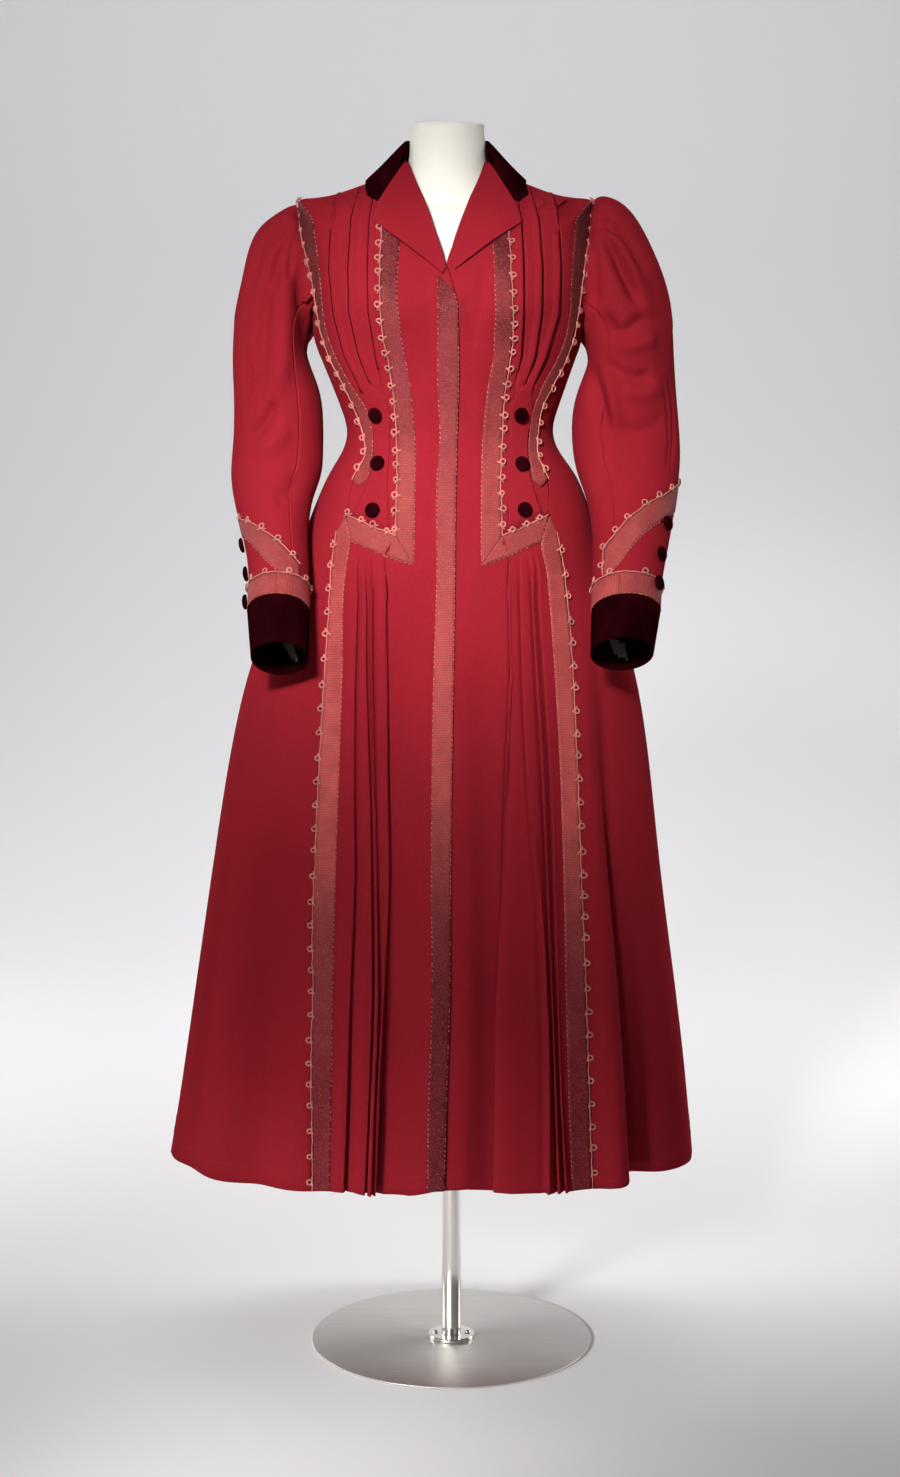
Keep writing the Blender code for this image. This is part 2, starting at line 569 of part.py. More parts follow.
def front_panel(side):
    """Centre front to the ribbon's outer edge, from the hem to the neck. Returns its grid for the ribbons."""
    spots, lifts = [], []
    overlapping = side < 0
    for level in LEVELS_SKIRT + ("lower", "upper") + LEVELS_BODICE + LEVELS_NECK:
        named = level
        if level == "lower":
            level = FRONT_BAND_LEVELS[0]
        if level == "upper":
            level = FRONT_BAND_LEVELS[1]
        edge = angle_on(FRONT_EDGE_LINE[side], level, side)
        inner = angle_on(RIBBON_INNER_LINE[side], level, side)
        outer = angle_on(FRONT_SEAM_LINE[side], level, side)
        if level < NECK_OPEN_LEVEL:
            ribbon = angle_on(CENTRE_RIBBON_LINE[side], level, side)
        else:
            ribbon = edge + (inner - edge) * 0.34
        ramp = ribbon + (inner - ribbon) * 0.2
        middle = ribbon + (inner - ribbon) * 0.6
        row = [(edge, level), (ribbon, level), (ramp, level), (middle, level), (inner, level), (outer, level)]
        if named == "lower":
            inner_x = BAND_LOWER_R[0][0] if overlapping else BAND_LOWER_L[0][0]
            row[4] = spot_on(inner_x, BAND_LOWER[side](inner_x), side)
        spots.append(row)
        rise = OVERLAP_RISE * (level <= NECK_OPEN_LEVEL) if overlapping else 0.0
        trough = -TROUGH_LINE(level)
        lifts.append([rise, rise, rise * 0.35, trough * 0.15, trough * 0.6, trough])
    seams = ("right", "top")
    return panel(f"front_{side_name(side)}", spots, lifts, seams)


def step_angle(angle, level, side, width=STEP_WIDTH):
    """The angle a step's width further from the centre front than this one."""
    here = smooth_point(angle, level)
    ahead = smooth_point(angle + side, level)
    return angle + side * width / max(np.linalg.norm(ahead - here), 0.2)


def pleat_columns(level, side):
    """Angles across the pleated insert with the lift of each, from the front seam outwards."""
    height = PLEAT_HEIGHT_LINE(level)
    trough = -TROUGH_LINE(level)
    seam = angle_on(FRONT_SEAM_LINE[side], level, side)
    columns = [(seam, trough), (step_angle(seam, level, side), trough * 0.5 + height)]
    for line in PLEATS[side]:
        root = angle_on(line, level, side)
        columns += [(root, trough * 0.2), (step_angle(root, level, side), height)]
    inner = angle_on(SKIRT_RIBBON_LINE[side], level, side)
    outer = angle_on(SIDE_SEAM_FRONT_LINE[side], level, side)
    return columns + [(inner, 0.0), (outer, 0.0)]


def pleat_panel(side):
    spots, lifts = [], []
    for level in LEVELS_SKIRT:
        columns = pleat_columns(level, side)
        spots.append([(angle, level) for angle, _ in columns])
        lifts.append([lift for _, lift in columns])
    near, far = BAND_FOOT_ENDS[side]
    top_near, top_far = BAND_ENDS[side]
    top_columns = pleat_columns(LEVELS_SKIRT[-1], side)
    xs = [smooth_point(angle, LEVELS_SKIRT[-1])[0] for angle, _ in top_columns[:-1]]
    shares = [(x - xs[0]) / (xs[-1] - xs[0]) for x in xs]
    lower, upper = [], []
    for share in shares:
        x = near + (far - near) * share
        lower.append(spot_on(x, BAND_LOWER[side](x), side))
        x = top_near + (top_far - top_near) * share
        upper.append(spot_on(x, BAND_UPPER[side](x), side))
    seam_level = SIDE_BAND_LEVELS[0]
    lower[0] = (angle_on(FRONT_SEAM_LINE[side], FRONT_BAND_LEVELS[0], side), FRONT_BAND_LEVELS[0])
    upper[0] = (angle_on(FRONT_SEAM_LINE[side], FRONT_BAND_LEVELS[1], side), FRONT_BAND_LEVELS[1])
    upper[-1] = (angle_on(SIDE_SEAM_FRONT_LINE[side], SIDE_BAND_LEVELS[1], side), SIDE_BAND_LEVELS[1])
    spots.append(lower + [(angle_on(SIDE_SEAM_FRONT_LINE[side], seam_level, side), seam_level)])
    spots.append(upper + [upper[-1]])
    flat = [0.0] * len(spots[-1])
    lifts += [flat, flat]
    return panel(f"pleat_panel_{side_name(side)}", spots, lifts, ("left", "right", "top")), upper


def yoke_panel(side, band_spots):
    """The tucked piece from the shoulder to the slanting band, with the rows that its trim is laid on."""
    spots, lifts = [], []
    near, far = band_spots[0], band_spots[-1]
    for level in ("band",) + LEVELS_BODICE + LEVELS_NECK:
        if level == "band":
            row = [spot_on(x, BAND_UPPER[side](x), side) for x in between(*BAND_ENDS[side], 8)]
            row[0], row[-1] = near, far
            spots.append(row)
            lifts.append([0.0] * 9)
            continue
        seam = angle_on(FRONT_SEAM_LINE[side], level, side)
        if level < ARMHOLE_CORNER:
            border = angle_on(SIDE_SEAM_FRONT_LINE[side], level, side)
            if level >= ARMHOLE_FOOT:
                border = side * max(abs(border), ARMHOLE_FRONT_LINE(ARMHOLE_CORNER))
        else:
            border = side * (ARMHOLE_FRONT_LINE(level) if level < SHOULDER else 90)
        inner = border * SHOULDER_RIBBON_SHARE
        if level < SHOULDER:
            inner = angle_on(ARMHOLE_RIBBON_LINE[side], level, side)
        if side * (border - inner) < ARMHOLE_RIBBON_LEAST:
            inner = border - side * ARMHOLE_RIBBON_LEAST
        if level > SHOULDER:
            inner = seam + (border - seam) * ARMHOLE_RIBBON_SHARE
        height = 0.0
        if level < TUCK_FOOT_LEVEL:
            first = angle_on(TAB_LINE[side], level, side)
            middle = [first + (inner - first) * k / 6 for k in range(6)]
        elif level > SHOULDER:
            middle = [seam + (inner - seam) * share for share in TUCK_SHARES]
            height = TUCK_DEPTH
        else:
            height = TUCK_DEPTH * smooth_step((level - TUCK_FOOT_LEVEL) / TUCK_FADE)
            middle = []
            for line in TUCKS[side]:
                edge = angle_on(line, level, side)
                middle += [edge, step_angle(edge, level, side, TUCK_STEP)]
        spots.append([(angle, level) for angle in [seam, *middle, inner, border]])
        lifts.append([0.0, height, 0.0, height, 0.0, height, 0.0, 0.0, 0.0])
    return panel(f"yoke_{side_name(side)}", spots, lifts, ("left", "right", "foot", "top"))


def side_front_panel(side):
    spots = []
    for level in LEVELS_SKIRT + SIDE_BAND_LEVELS + LEVELS_BODICE:
        if level > ARMHOLE_CORNER:
            continue
        first = angle_on(SIDE_SEAM_FRONT_LINE[side], level, side)
        if level >= ARMHOLE_FOOT:
            first = side * max(abs(first), ARMHOLE_FRONT_LINE(ARMHOLE_CORNER))
        last = side * (ARMHOLE_FRONT_LINE(level) if level > ARMHOLE_FOOT else 90)
        spots.append([(angle, level) for angle in between(first, last, 5)])
    lifts = [[0.0] * 6 for _ in spots]
    return panel(f"side_front_{side_name(side)}", spots, lifts, ("left", "right"))


def side_back_panel(side):
    spots = []
    for level in LEVELS_SKIRT + SIDE_BAND_LEVELS + LEVELS_BODICE:
        if level > ARMHOLE_CORNER:
            continue
        first = side * (ARMHOLE_BACK_LINE(level) if level > ARMHOLE_FOOT else 90)
        last = side * BACK_SEAM_LINE(level)
        spots.append([(angle, level) for angle in between(first, last, 6)])
    lifts = [[0.0] * 7 for _ in spots]
    return panel(f"side_back_{side_name(side)}", spots, lifts, ("left", "right"))


def back_panel(side):
    spots = []
    for level in LEVELS_SKIRT + SIDE_BAND_LEVELS + LEVELS_BODICE + LEVELS_NECK:
        if level < ARMHOLE_CORNER:
            first = side * BACK_SEAM_LINE(level)
        else:
            first = side * (ARMHOLE_BACK_LINE(level) if level < SHOULDER else 90)
        spots.append([(angle, level) for angle in between(first, side * 180, 6)])
    lifts = [[0.0] * 7 for _ in spots]
    return panel(f"back_{side_name(side)}", spots, lifts, ("left", "right", "top"))


def picked(grid, cells):
    """(point, normal) pairs of a panel at the given rows and columns."""
    points, normals = grid
    return [(points[i, j], normals[i, j]) for i, j in cells]


def front_trims(side, front, pleats, yoke):
    """The ribbons and the pointed tab of this side. Rows lower and upper edge the slanting band."""
    name = side_name(side)
    lower, upper = len(LEVELS_SKIRT), len(LEVELS_SKIRT) + 1
    top = upper + 1 + LEVELS_BODICE.index(RIBBON_TOP_LEVEL)
    ribbon = [picked(front, ((i, 4), (i, 5))) for i in range(top, upper - 1, -1)]
    ribbon.append(picked(front, ((lower, 4), (upper, 5))))
    last = pleats[0].shape[1] - 2
    ribbon += [picked(pleats, ((lower, j), (upper, j))) for j in range(last + 1)]
    laid(f"front_ribbon_{name}", ribbon, "ribbon", RIBBON, MITRE_GAP)
    corner = last + 1
    down = [picked(pleats, ((i, last), (i, corner))) for i in range(lower, -1, -1)]
    head = shifted_bar(picked(pleats, ((lower, last), (upper, last))), down[1])
    down[0][0] = head[0]
    skirt = [head] + down
    laid(f"skirt_ribbon_{name}", skirt, "ribbon", RIBBON)
    end = LEVELS_BODICE.index(SHOULDER) + 1
    armhole = [inset_row(picked(yoke, ((i, 7), (i, 8))), ARMHOLE_RIBBON_INSET) for i in range(1, end + 1)]
    laid(f"armhole_ribbon_{name}", armhole, "ribbon", RIBBON)
    tab_rows = [picked(yoke, [(i, j) for j in range(1, 8)]) for i in range(5)]
    tab_rows = [inset_row(row, TAB_INSET) for row in tab_rows]
    tip_row = LEVELS_BODICE.index(TAB_TIP_LEVEL) + 1
    tip = picked(yoke, ((tip_row, 3),))[0]
    tab_rows.append([tip] * 7)
    laid(f"tab_{name}", tab_rows, "broadcloth", TAB, TAB_GAP)


def shifted_bar(bar, beyond):
    """A bar moved a seam's width towards the next one, so that two ribbons meet without touching."""
    moved = []
    for (point, normal), (other, _) in zip(bar, beyond):
        moved.append((point + unit(other - point) * SEAM, normal))
    return moved


def inset_row(row, by):
    """A row of (point, normal) pairs with both ends moved in."""
    row = list(row)
    (first, first_normal), (second, _) = row[0], row[1]
    (last, last_normal), (before, _) = row[-1], row[-2]
    row[0] = (first + unit(second - first) * by, first_normal)
    row[-1] = (last + unit(before - last) * by, last_normal)
    return row


def armhole_loop(side, gap):
    """Points round the armhole, from the shoulder down the front and up the back, drawn in by the gap."""
    levels = [level for level in LEVELS_BODICE if level >= ARMHOLE_FOOT]
    front = [smooth_point(side * ARMHOLE_FRONT_LINE(level), level) for level in reversed(levels)]
    back = [smooth_point(side * ARMHOLE_BACK_LINE(level), level) for level in levels[1:-1]]
    corners = np.array(front + back)
    centre = corners.mean(axis=0)
    away = corners - centre
    away[:, 0] = 0
    corners = corners - unit(away) * gap
    return corners


def resampled(loop, count):
    """Points at even steps between a closed loop's corners, keeping every corner."""
    extra = count - len(loop)
    lengths = np.linalg.norm(np.roll(loop, -1, axis=0) - loop, axis=1)
    parts = np.ones(len(loop), int)
    for _ in range(extra):
        parts[np.argmax(lengths / parts)] += 1
    points = []
    for k, start in enumerate(loop):
        end = loop[(k + 1) % len(loop)]
        points += [start + (end - start) * part / parts[k] for part in range(parts[k])]
    return np.array(points)


def section(row, count):
    """One oval section of the sleeve: side 0 points outwards, and the sides go round by the front."""
    out_x, out_z, in_x, in_z, y, depth, tilt = row
    middle = np.array(((out_x + in_x) / 2, y, (out_z + in_z) / 2))
    half = np.array(((out_x - in_x) / 2, 0, (out_z - in_z) / 2))
    lean = math.radians(tilt)
    ahead = np.array((0, -math.cos(lean), math.sin(lean))) * depth
    turns = [2 * math.pi * k / count for k in range(count)]
    return np.array([middle + half * math.cos(turn) + ahead * math.sin(turn) for turn in turns])


def sleeve(side):
    """The gathered upper sleeve and the under sleeve. Returns the whole sleeve's grid."""
    rows = SLEEVE_R if side < 0 else SLEEVE_L
    grid = [resampled(armhole_loop(side, ARMHOLE_GAP), SLEEVE_SIDES)]
    grid += [section(row, SLEEVE_SIDES) for row in rows]
    grid = np.array(grid)
    middles = grid.mean(axis=1)
    outward = unit(grid - middles[:, None])
    for i, height in enumerate(GATHERS):
        for j in range(-GATHER_SIDES, GATHER_SIDES + 1):
            fade = 1 - abs(j) / (GATHER_SIDES + 1)
            grid[i, j] += outward[i, j] * height * (1 if j % 2 == 0 else -1) * min(1, 2 * fade)
    normals = mesh_normals(grid, outward, wrap=True)
    inner = grid - normals * CLOTH
    order = list(range(-SEAM_SIDE, SEAM_SIDE + 1))
    other = list(range(SEAM_SIDE, SLEEVE_SIDES - SEAM_SIDE + 1))
    for name, columns in (("upper", order), ("under", other)):
        points, upright = grid[:, columns], normals[:, columns]
        moved = drawn_in(points, upright, ("left", "right"), SLEEVE_SEAM)
        shell(f"sleeve_{name}_{side_name(side)}", moved, moved - upright * CLOTH, "broadcloth")
    return grid, normals


def spot_down(grid, normals, column, line):
    """Where a sleeve's column meets a line given as z at each x, seen from the front."""
    points, upright = grid[:, column], normals[:, column]
    for i in range(len(points) - 1, 0, -1):
        low, high = points[i], points[i - 1]
        if high[2] >= line(high[0]):
            first, second = low[2] - line(low[0]), high[2] - line(high[0])
            t = min(max(-first / (second - first), 0.0), 1.0)
            return low + (high - low) * t, unit(upright[i] + (upright[i - 1] - upright[i]) * t)
    return points[0], upright[0]


def sleeve_trims(side, grid, normals):
    name = side_name(side)
    band = []
    for i in (BAND_ROW + 1, BAND_ROW + 2):
        band.append([(grid[i, j], normals[i, j]) for j in range(SLEEVE_SIDES)])
    laid(f"cuff_ribbon_{name}", band, "ribbon", RIBBON, wrap=True)
    upper = Curve(FOREARM_UPPER_R if side < 0 else FOREARM_UPPER_L)
    lower = Curve(FOREARM_LOWER_R if side < 0 else FOREARM_LOWER_L)
    bars = []
    for column in range(FOREARM_COLUMNS):
        high = spot_down(grid, normals, column, upper)
        low = spot_down(grid, normals, column, lower)
        floor = grid[BAND_ROW + 1, column], normals[BAND_ROW + 1, column]
        rising = unit(grid[BAND_ROW, column] - floor[0])
        if low[0][2] < floor[0][2] + FOREARM_CLEAR:
            low = (floor[0] + rising * FOREARM_CLEAR, floor[1])
        if high[0][2] < low[0][2] + FOREARM_LEAST:
            high = (low[0] + rising * FOREARM_LEAST, low[1])
        bars.append([low, ((low[0] + high[0]) / 2, unit(low[1] + high[1])), high])
    laid(f"forearm_ribbon_{name}", bars, "ribbon", RIBBON, FOREARM_GAP)


def cuff(side):
    """The velvet cuff and the lining seen inside it."""
    rows = CUFF_R if side < 0 else CUFF_L
    grid = np.array([section(row, SLEEVE_SIDES) for row in rows])
    outward = unit(grid - grid.mean(axis=1)[:, None])
    shell(f"cuff_{side_name(side)}", grid, grid - outward * VELVET, "velvet", wrap=True)
    tube = np.array([grid[0] + (grid[1] - grid[0]) * share for share in LINING_SPAN])
    tube = tube - outward * (VELVET + LAID)
    shell(f"cuff_lining_{side_name(side)}", tube, tube - outward * LINING, "lining", wrap=True)


def lapel(side):
    grid = []
    for roll_x, roll_z, edge_x, edge_z, roll_lift, edge_lift in LAPEL_R if side < 0 else LAPEL_L:
        roll, edge = np.array(spot_on(roll_x, roll_z, side)), np.array(spot_on(edge_x, edge_z, side))
        line = []
        for k in range(LAPEL_SPANS + 1):
            angle, level = roll + (edge - roll) * k / LAPEL_SPANS
            lift = roll_lift + (edge_lift - roll_lift) * k / LAPEL_SPANS
            line.append(smooth_point(angle, level) + smooth_normal(angle, level) * lift)
        grid.append(line)
    for row in LAPEL_NECK_R if side < 0 else LAPEL_NECK_L:
        roll, edge = np.array(row[:3], float), np.array(row[3:], float)
        grid.append([roll + (edge - roll) * k / LAPEL_SPANS for k in range(LAPEL_SPANS + 1)])
    grid = np.array(grid)
    ahead = np.zeros_like(grid)
    ahead[..., 1] = -1
    ahead[..., 2] = 0.4
    normals = mesh_normals(grid, unit(ahead))
    shell(f"lapel_{side_name(side)}", grid, grid - normals * CLOTH, "broadcloth")


def collar():
    """The velvet collar: a stand round the neck turned over into a fall."""
    halves = []
    for side in (-1, 1):
        half = []
        for fold_angle, edge_angle, fold_radius, fold_z, level in COLLAR:
            turn = math.radians(side * fold_angle)
            radial = np.array((math.sin(turn), -math.cos(turn), 0.0))
            centre = np.array((COLLAR_CENTRE, 0, 0))
            foot = centre + radial * COLLAR_FOOT[0]
            foot[2] = COLLAR_FOOT[1] - COLLAR_DIP * max(math.cos(turn), 0) ** 2
            fold = centre + radial * fold_radius
            fold[2] = fold_z
            edge = smooth_point(side * edge_angle, level)
            edge = edge + smooth_normal(side * edge_angle, level) * COLLAR_LIFT
            crown = fold + radial * COLLAR_ROLL + np.array((0, 0, 0.6))
            middle = crown + (edge - crown) * 0.5 - np.array((0, 0, COLLAR_HOLLOW))
            half.append([foot, fold - np.array((0, 0, 2.0)), crown, middle, edge])
        halves.append(half)
    grid = np.array(halves[0][::-1] + halves[1][1:])
    normals = unit(np.cross(np.gradient(grid, axis=0), np.gradient(grid, axis=1)))
    if normals[len(grid) // 2, -1, 2] < 0:
        normals = -normals
    shell("collar", grid, grid - normals * VELVET, "velvet")


def dress_form():
    """A smooth closed body inside the coat, with a flat foot and a rounded neck."""
    rings = []
    for level in FORM_LEVELS:
        line = []
        for k in range(FORM_SIDES):
            angle = -180 + 360 * k / FORM_SIDES
            line.append(smooth_point(angle, level) - smooth_normal(angle, level) * FORM_INSET_LINE(level))
        rings.append(line)
    foot = [point * (0.93, 0.93, 0) + (0, 0, FORM_FOOT) for point in rings[0]]
    rings.insert(0, foot)
    for z, wide, front, back in FORM_NECK:
        line = []
        for k in range(FORM_SIDES):
            turn = math.radians(-180 + 360 * k / FORM_SIDES)
            deep = front if math.cos(turn) > 0 else back
            line.append((FORM_NECK_CENTRE + wide * math.sin(turn), -deep * math.cos(turn), z))
        rings.append(line)
    corners = [np.array(point, float) * MM for line in rings for point in line]
    faces = []
    for i in range(len(rings) - 1):
        for j in range(FORM_SIDES):
            a, b = i * FORM_SIDES + j, i * FORM_SIDES + (j + 1) % FORM_SIDES
            c, d = b + FORM_SIDES, a + FORM_SIDES
            faces += [(a, b, c), (a, c, d)]
    for first, order in ((0, -1), ((len(rings) - 1) * FORM_SIDES, 1)):
        centre = np.mean(corners[first:first + FORM_SIDES], axis=0)
        corners.append(centre)
        for j in range(FORM_SIDES):
            a, b = first + j, first + (j + 1) % FORM_SIDES
            faces.append((a, b, len(corners) - 1)[::order])
    add_mesh("dress_form", corners, faces, "form_cover")


def turned(name, profile, steps, material, place=(0, 0, 0), axis=(0, 0, 1)):
    """A round piece: the profile's (radius, height) points turned about the axis."""
    mesh = bpy.data.meshes.new(name)
    points = [(radius * MM, 0, height * MM) for radius, height in profile]
    mesh.from_pydata(points, [(k, k + 1) for k in range(len(points) - 1)], [])
    mesh.materials.append(MATERIALS[material])
    thing = bpy.data.objects.new(name, mesh)
    turn = Vector((0, 0, 1)).rotation_difference(Vector(axis)).to_matrix().to_4x4()
    thing.matrix_world = Matrix.Translation([value * MM for value in place]) @ turn
    COLLECTION.objects.link(thing)
    screw = thing.modifiers.new("turn", "SCREW")
    screw.steps = screw.render_steps = steps
    screw.use_normal_flip = True
    screw.use_merge_vertices = True
    screw.merge_threshold = 0.00001
    return thing


def stand():
    plate = (
        (0, 0), (BASE_RADIUS - BASE_BEVEL, 0), (BASE_RADIUS, BASE_BEVEL),
        (BASE_RADIUS, BASE_THICK - BASE_BEVEL), (BASE_RADIUS - BASE_BEVEL, BASE_THICK), (0, BASE_THICK),
    )
    turned("base_plate", plate, BASE_STEPS, "brushed_steel")
    flange_z = BASE_THICK + SEAM
    flange = (
        (0, 0), (FLANGE_RADIUS, 0), (FLANGE_RADIUS, FLANGE_THICK - FLANGE_BEVEL),
        (FLANGE_RADIUS - FLANGE_BEVEL, FLANGE_THICK), (0, FLANGE_THICK),
    )
    turned("base_flange", flange, POLE_STEPS, "polished_steel", (0, 0, flange_z))
    top = flange_z + FLANGE_THICK + SEAM
    length = FORM_FOOT - SEAM - top
    tube = ((0, 0), (POLE_RADIUS, 0), (POLE_RADIUS, length), (0, length))
    turned("pole", tube, POLE_STEPS, "polished_steel", (0, 0, top))
    head = ((0, 0), (SCREW_HEAD, 0), (SCREW_HEAD * 0.96, 1.2), (SCREW_HEAD * 0.7, 2.3), (0, 2.8))
    for number, x in enumerate((-SCREW_OFFSET, SCREW_OFFSET)):
        turned(f"flange_screw_{number + 1}", head, BUTTON_STEPS, "polished_steel", (x, 0, top))


def button(name, point, normal, rise):
    profile = [(BUTTON_RADIUS - inset, height) for inset, height in BUTTON_EDGE]
    profile = [(0, 0), *profile, (0, BUTTON_HEIGHT)]
    turned(name, profile, BUTTON_STEPS, "velvet", point + normal * rise, normal)


def buttons(side, sleeve_grid, sleeve_normals):
    name = side_name(side)
    for number, (x, z) in enumerate(FRONT_BUTTONS_R if side < 0 else FRONT_BUTTONS_L):
        angle, level = spot_on(x, z, side)
        rise = TAB_GAP + TAB + FRONT_BUTTON_RISE[number][column_of(side)]
        place, upright = smooth_point(angle, level), smooth_normal(angle, level)
        button(f"front_button_{name}{number + 1}", place, upright, rise)
    turn = SLEEVE_BUTTON_ANGLE[column_of(side)] / 360 * SLEEVE_SIDES
    column = math.floor(turn)
    share = turn - column
    beyond = (column + 1) % SLEEVE_SIDES
    points = sleeve_grid[:, column] * (1 - share) + sleeve_grid[:, beyond] * share
    upright = unit(sleeve_normals[:, column] * (1 - share) + sleeve_normals[:, beyond] * share)
    for number, heights in enumerate(SLEEVE_BUTTON_HEIGHTS):
        z = heights[column_of(side)]
        rows = [i for i in range(len(points) - 1) if points[i, 2] >= z >= points[i + 1, 2]]
        i = rows[-1]
        t = (points[i, 2] - z) / (points[i, 2] - points[i + 1, 2])
        place = points[i] + (points[i + 1] - points[i]) * t
        rise = SLEEVE_BUTTON_RISE[number][column_of(side)]
        button(f"sleeve_button_{name}{number + 1}", place, upright[i], rise)


def main():
    for side in (-1, 1):
        front = front_panel(side)
        pleats, band = pleat_panel(side)
        yoke = yoke_panel(side, band)
        side_front_panel(side)
        side_back_panel(side)
        back_panel(side)
        front_trims(side, front, pleats, yoke)
        if side < 0:
            rows = 2 + len(LEVELS_SKIRT) + LEVELS_BODICE.index(CENTRE_RIBBON_TOP) + 1
            laid("centre_ribbon", [picked(front, ((i, 1), (i, 0))) for i in range(rows)], "ribbon", RIBBON)
        grid, normals = sleeve(side)
        sleeve_trims(side, grid, normals)
        cuff(side)
        lapel(side)
        buttons(side, grid, normals)
    collar()
    dress_form()
    stand()


clear_scene()
COLLECTION = bpy.data.collections.new("evening_coat_on_dress_form")
bpy.context.scene.collection.children.link(COLLECTION)
MATERIALS = {name: make_material(name) for name in COLOURS}
main()
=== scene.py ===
"""The looks of the evening coat on its dress form: cloth, ribbons, looped cord, stitches, velvet, stand and studio.

Metres, +Z up, the front towards -Y. _r is the wearer's right (-X) and _l the wearer's left (+X).
"""

import math
import random

import bmesh
import bpy
import numpy as np
from bpy.props import FloatProperty, FloatVectorProperty, PointerProperty
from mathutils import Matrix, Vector
from mathutils.bvhtree import BVHTree


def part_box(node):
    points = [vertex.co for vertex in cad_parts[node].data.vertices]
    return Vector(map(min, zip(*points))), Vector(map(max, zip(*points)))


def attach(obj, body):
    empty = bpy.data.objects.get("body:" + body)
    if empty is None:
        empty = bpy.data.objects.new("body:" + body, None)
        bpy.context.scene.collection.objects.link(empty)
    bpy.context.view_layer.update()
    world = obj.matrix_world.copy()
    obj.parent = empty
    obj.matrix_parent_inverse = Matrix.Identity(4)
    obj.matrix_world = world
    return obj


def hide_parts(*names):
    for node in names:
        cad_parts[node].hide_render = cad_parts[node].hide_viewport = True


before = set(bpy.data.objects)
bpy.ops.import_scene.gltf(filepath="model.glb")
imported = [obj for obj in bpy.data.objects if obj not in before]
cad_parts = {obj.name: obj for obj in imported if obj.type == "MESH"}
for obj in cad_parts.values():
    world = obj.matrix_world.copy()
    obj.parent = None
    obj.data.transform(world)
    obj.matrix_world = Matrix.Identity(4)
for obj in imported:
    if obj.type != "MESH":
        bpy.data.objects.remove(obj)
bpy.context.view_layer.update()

bl_info = {
    "name": "Evening coat",
    "version": (1, 0, 0),
    "blender": (4, 5, 0),
    "location": "3D View > Sidebar > Coat",
    "description": "Dresses the packed coat and its form in cloth, ribbon, cord, stitches and velvet",
    "category": "Object",
}

MM = 0.001
SIDES = ("r", "l")
SIGN = {"r": -1.0, "l": 1.0}

CORE = (-0.008, 0.0, 1.385)  # middle of the body, and the height above which cloth faces up from the chest
COLLAR_CORE = (-0.006, 0.062, 1.525)  # centre x, radius, height of the line inside the collar's roll
WALL_REACH = 4.5 * MM  # the other face of a wall lies within this
WALL_FACING = -0.45
OUTWARD_LEAST = 0.04
FRONT_LIMIT = -0.05  # forwards of this, cloth faces the front more than its own side
FRONT_LEAN = 0.25
LONG_EDGE = 4 * MM
SAME_POINT = 0.02 * MM
SLEEVE_SLICE = 0.05

# x, z of the fold lines in millimetres, counted outwards from the centre front: height, first, second, third
PLEATS = {
    "r": ((255, -102.5, -109, -134), (360, -98.5, -104, -130), (500, -93, -99, -126), (650, -94, -100, -120),
          (740, -95, -101, -121), (890, -98, -106, -119.5), (1050, -98, -106, -115)),
    "l": ((255, 118, 133, 143), (360, 118, 130, 137), (500, 115, 125, 132), (650, 106, 118, 127),
          (740, 96, 114, 124), (890, 88, 105, 115), (1050, 84, 97, 105)),
}
PLEAT_EDGE = {
    "r": ((255, -98), (340, -89), (500, -83), (650, -78), (889, -80), (1041, -82)),
    "l": ((255, 53), (500, 56), (650, 63), (889, 73), (1041, 70)),
}
TUCKS = {
    "r": ((1235, -85, -97, -109), (1250, -86, -99.5, -114), (1284, -92, -112.5, -131), (1336, -100, -124, -144),
          (1390, -101, -125, -149), (1450, -99, -121.5, -146), (1495, -92, -112, -138)),
    "l": ((1235, 77, 87, 97), (1250, 77, 89, 100), (1284, 84, 101, 115), (1336, 86, 108, 130),
          (1390, 86, 109, 132), (1450, 83.5, 105, 129), (1495, 76, 94, 122)),
}

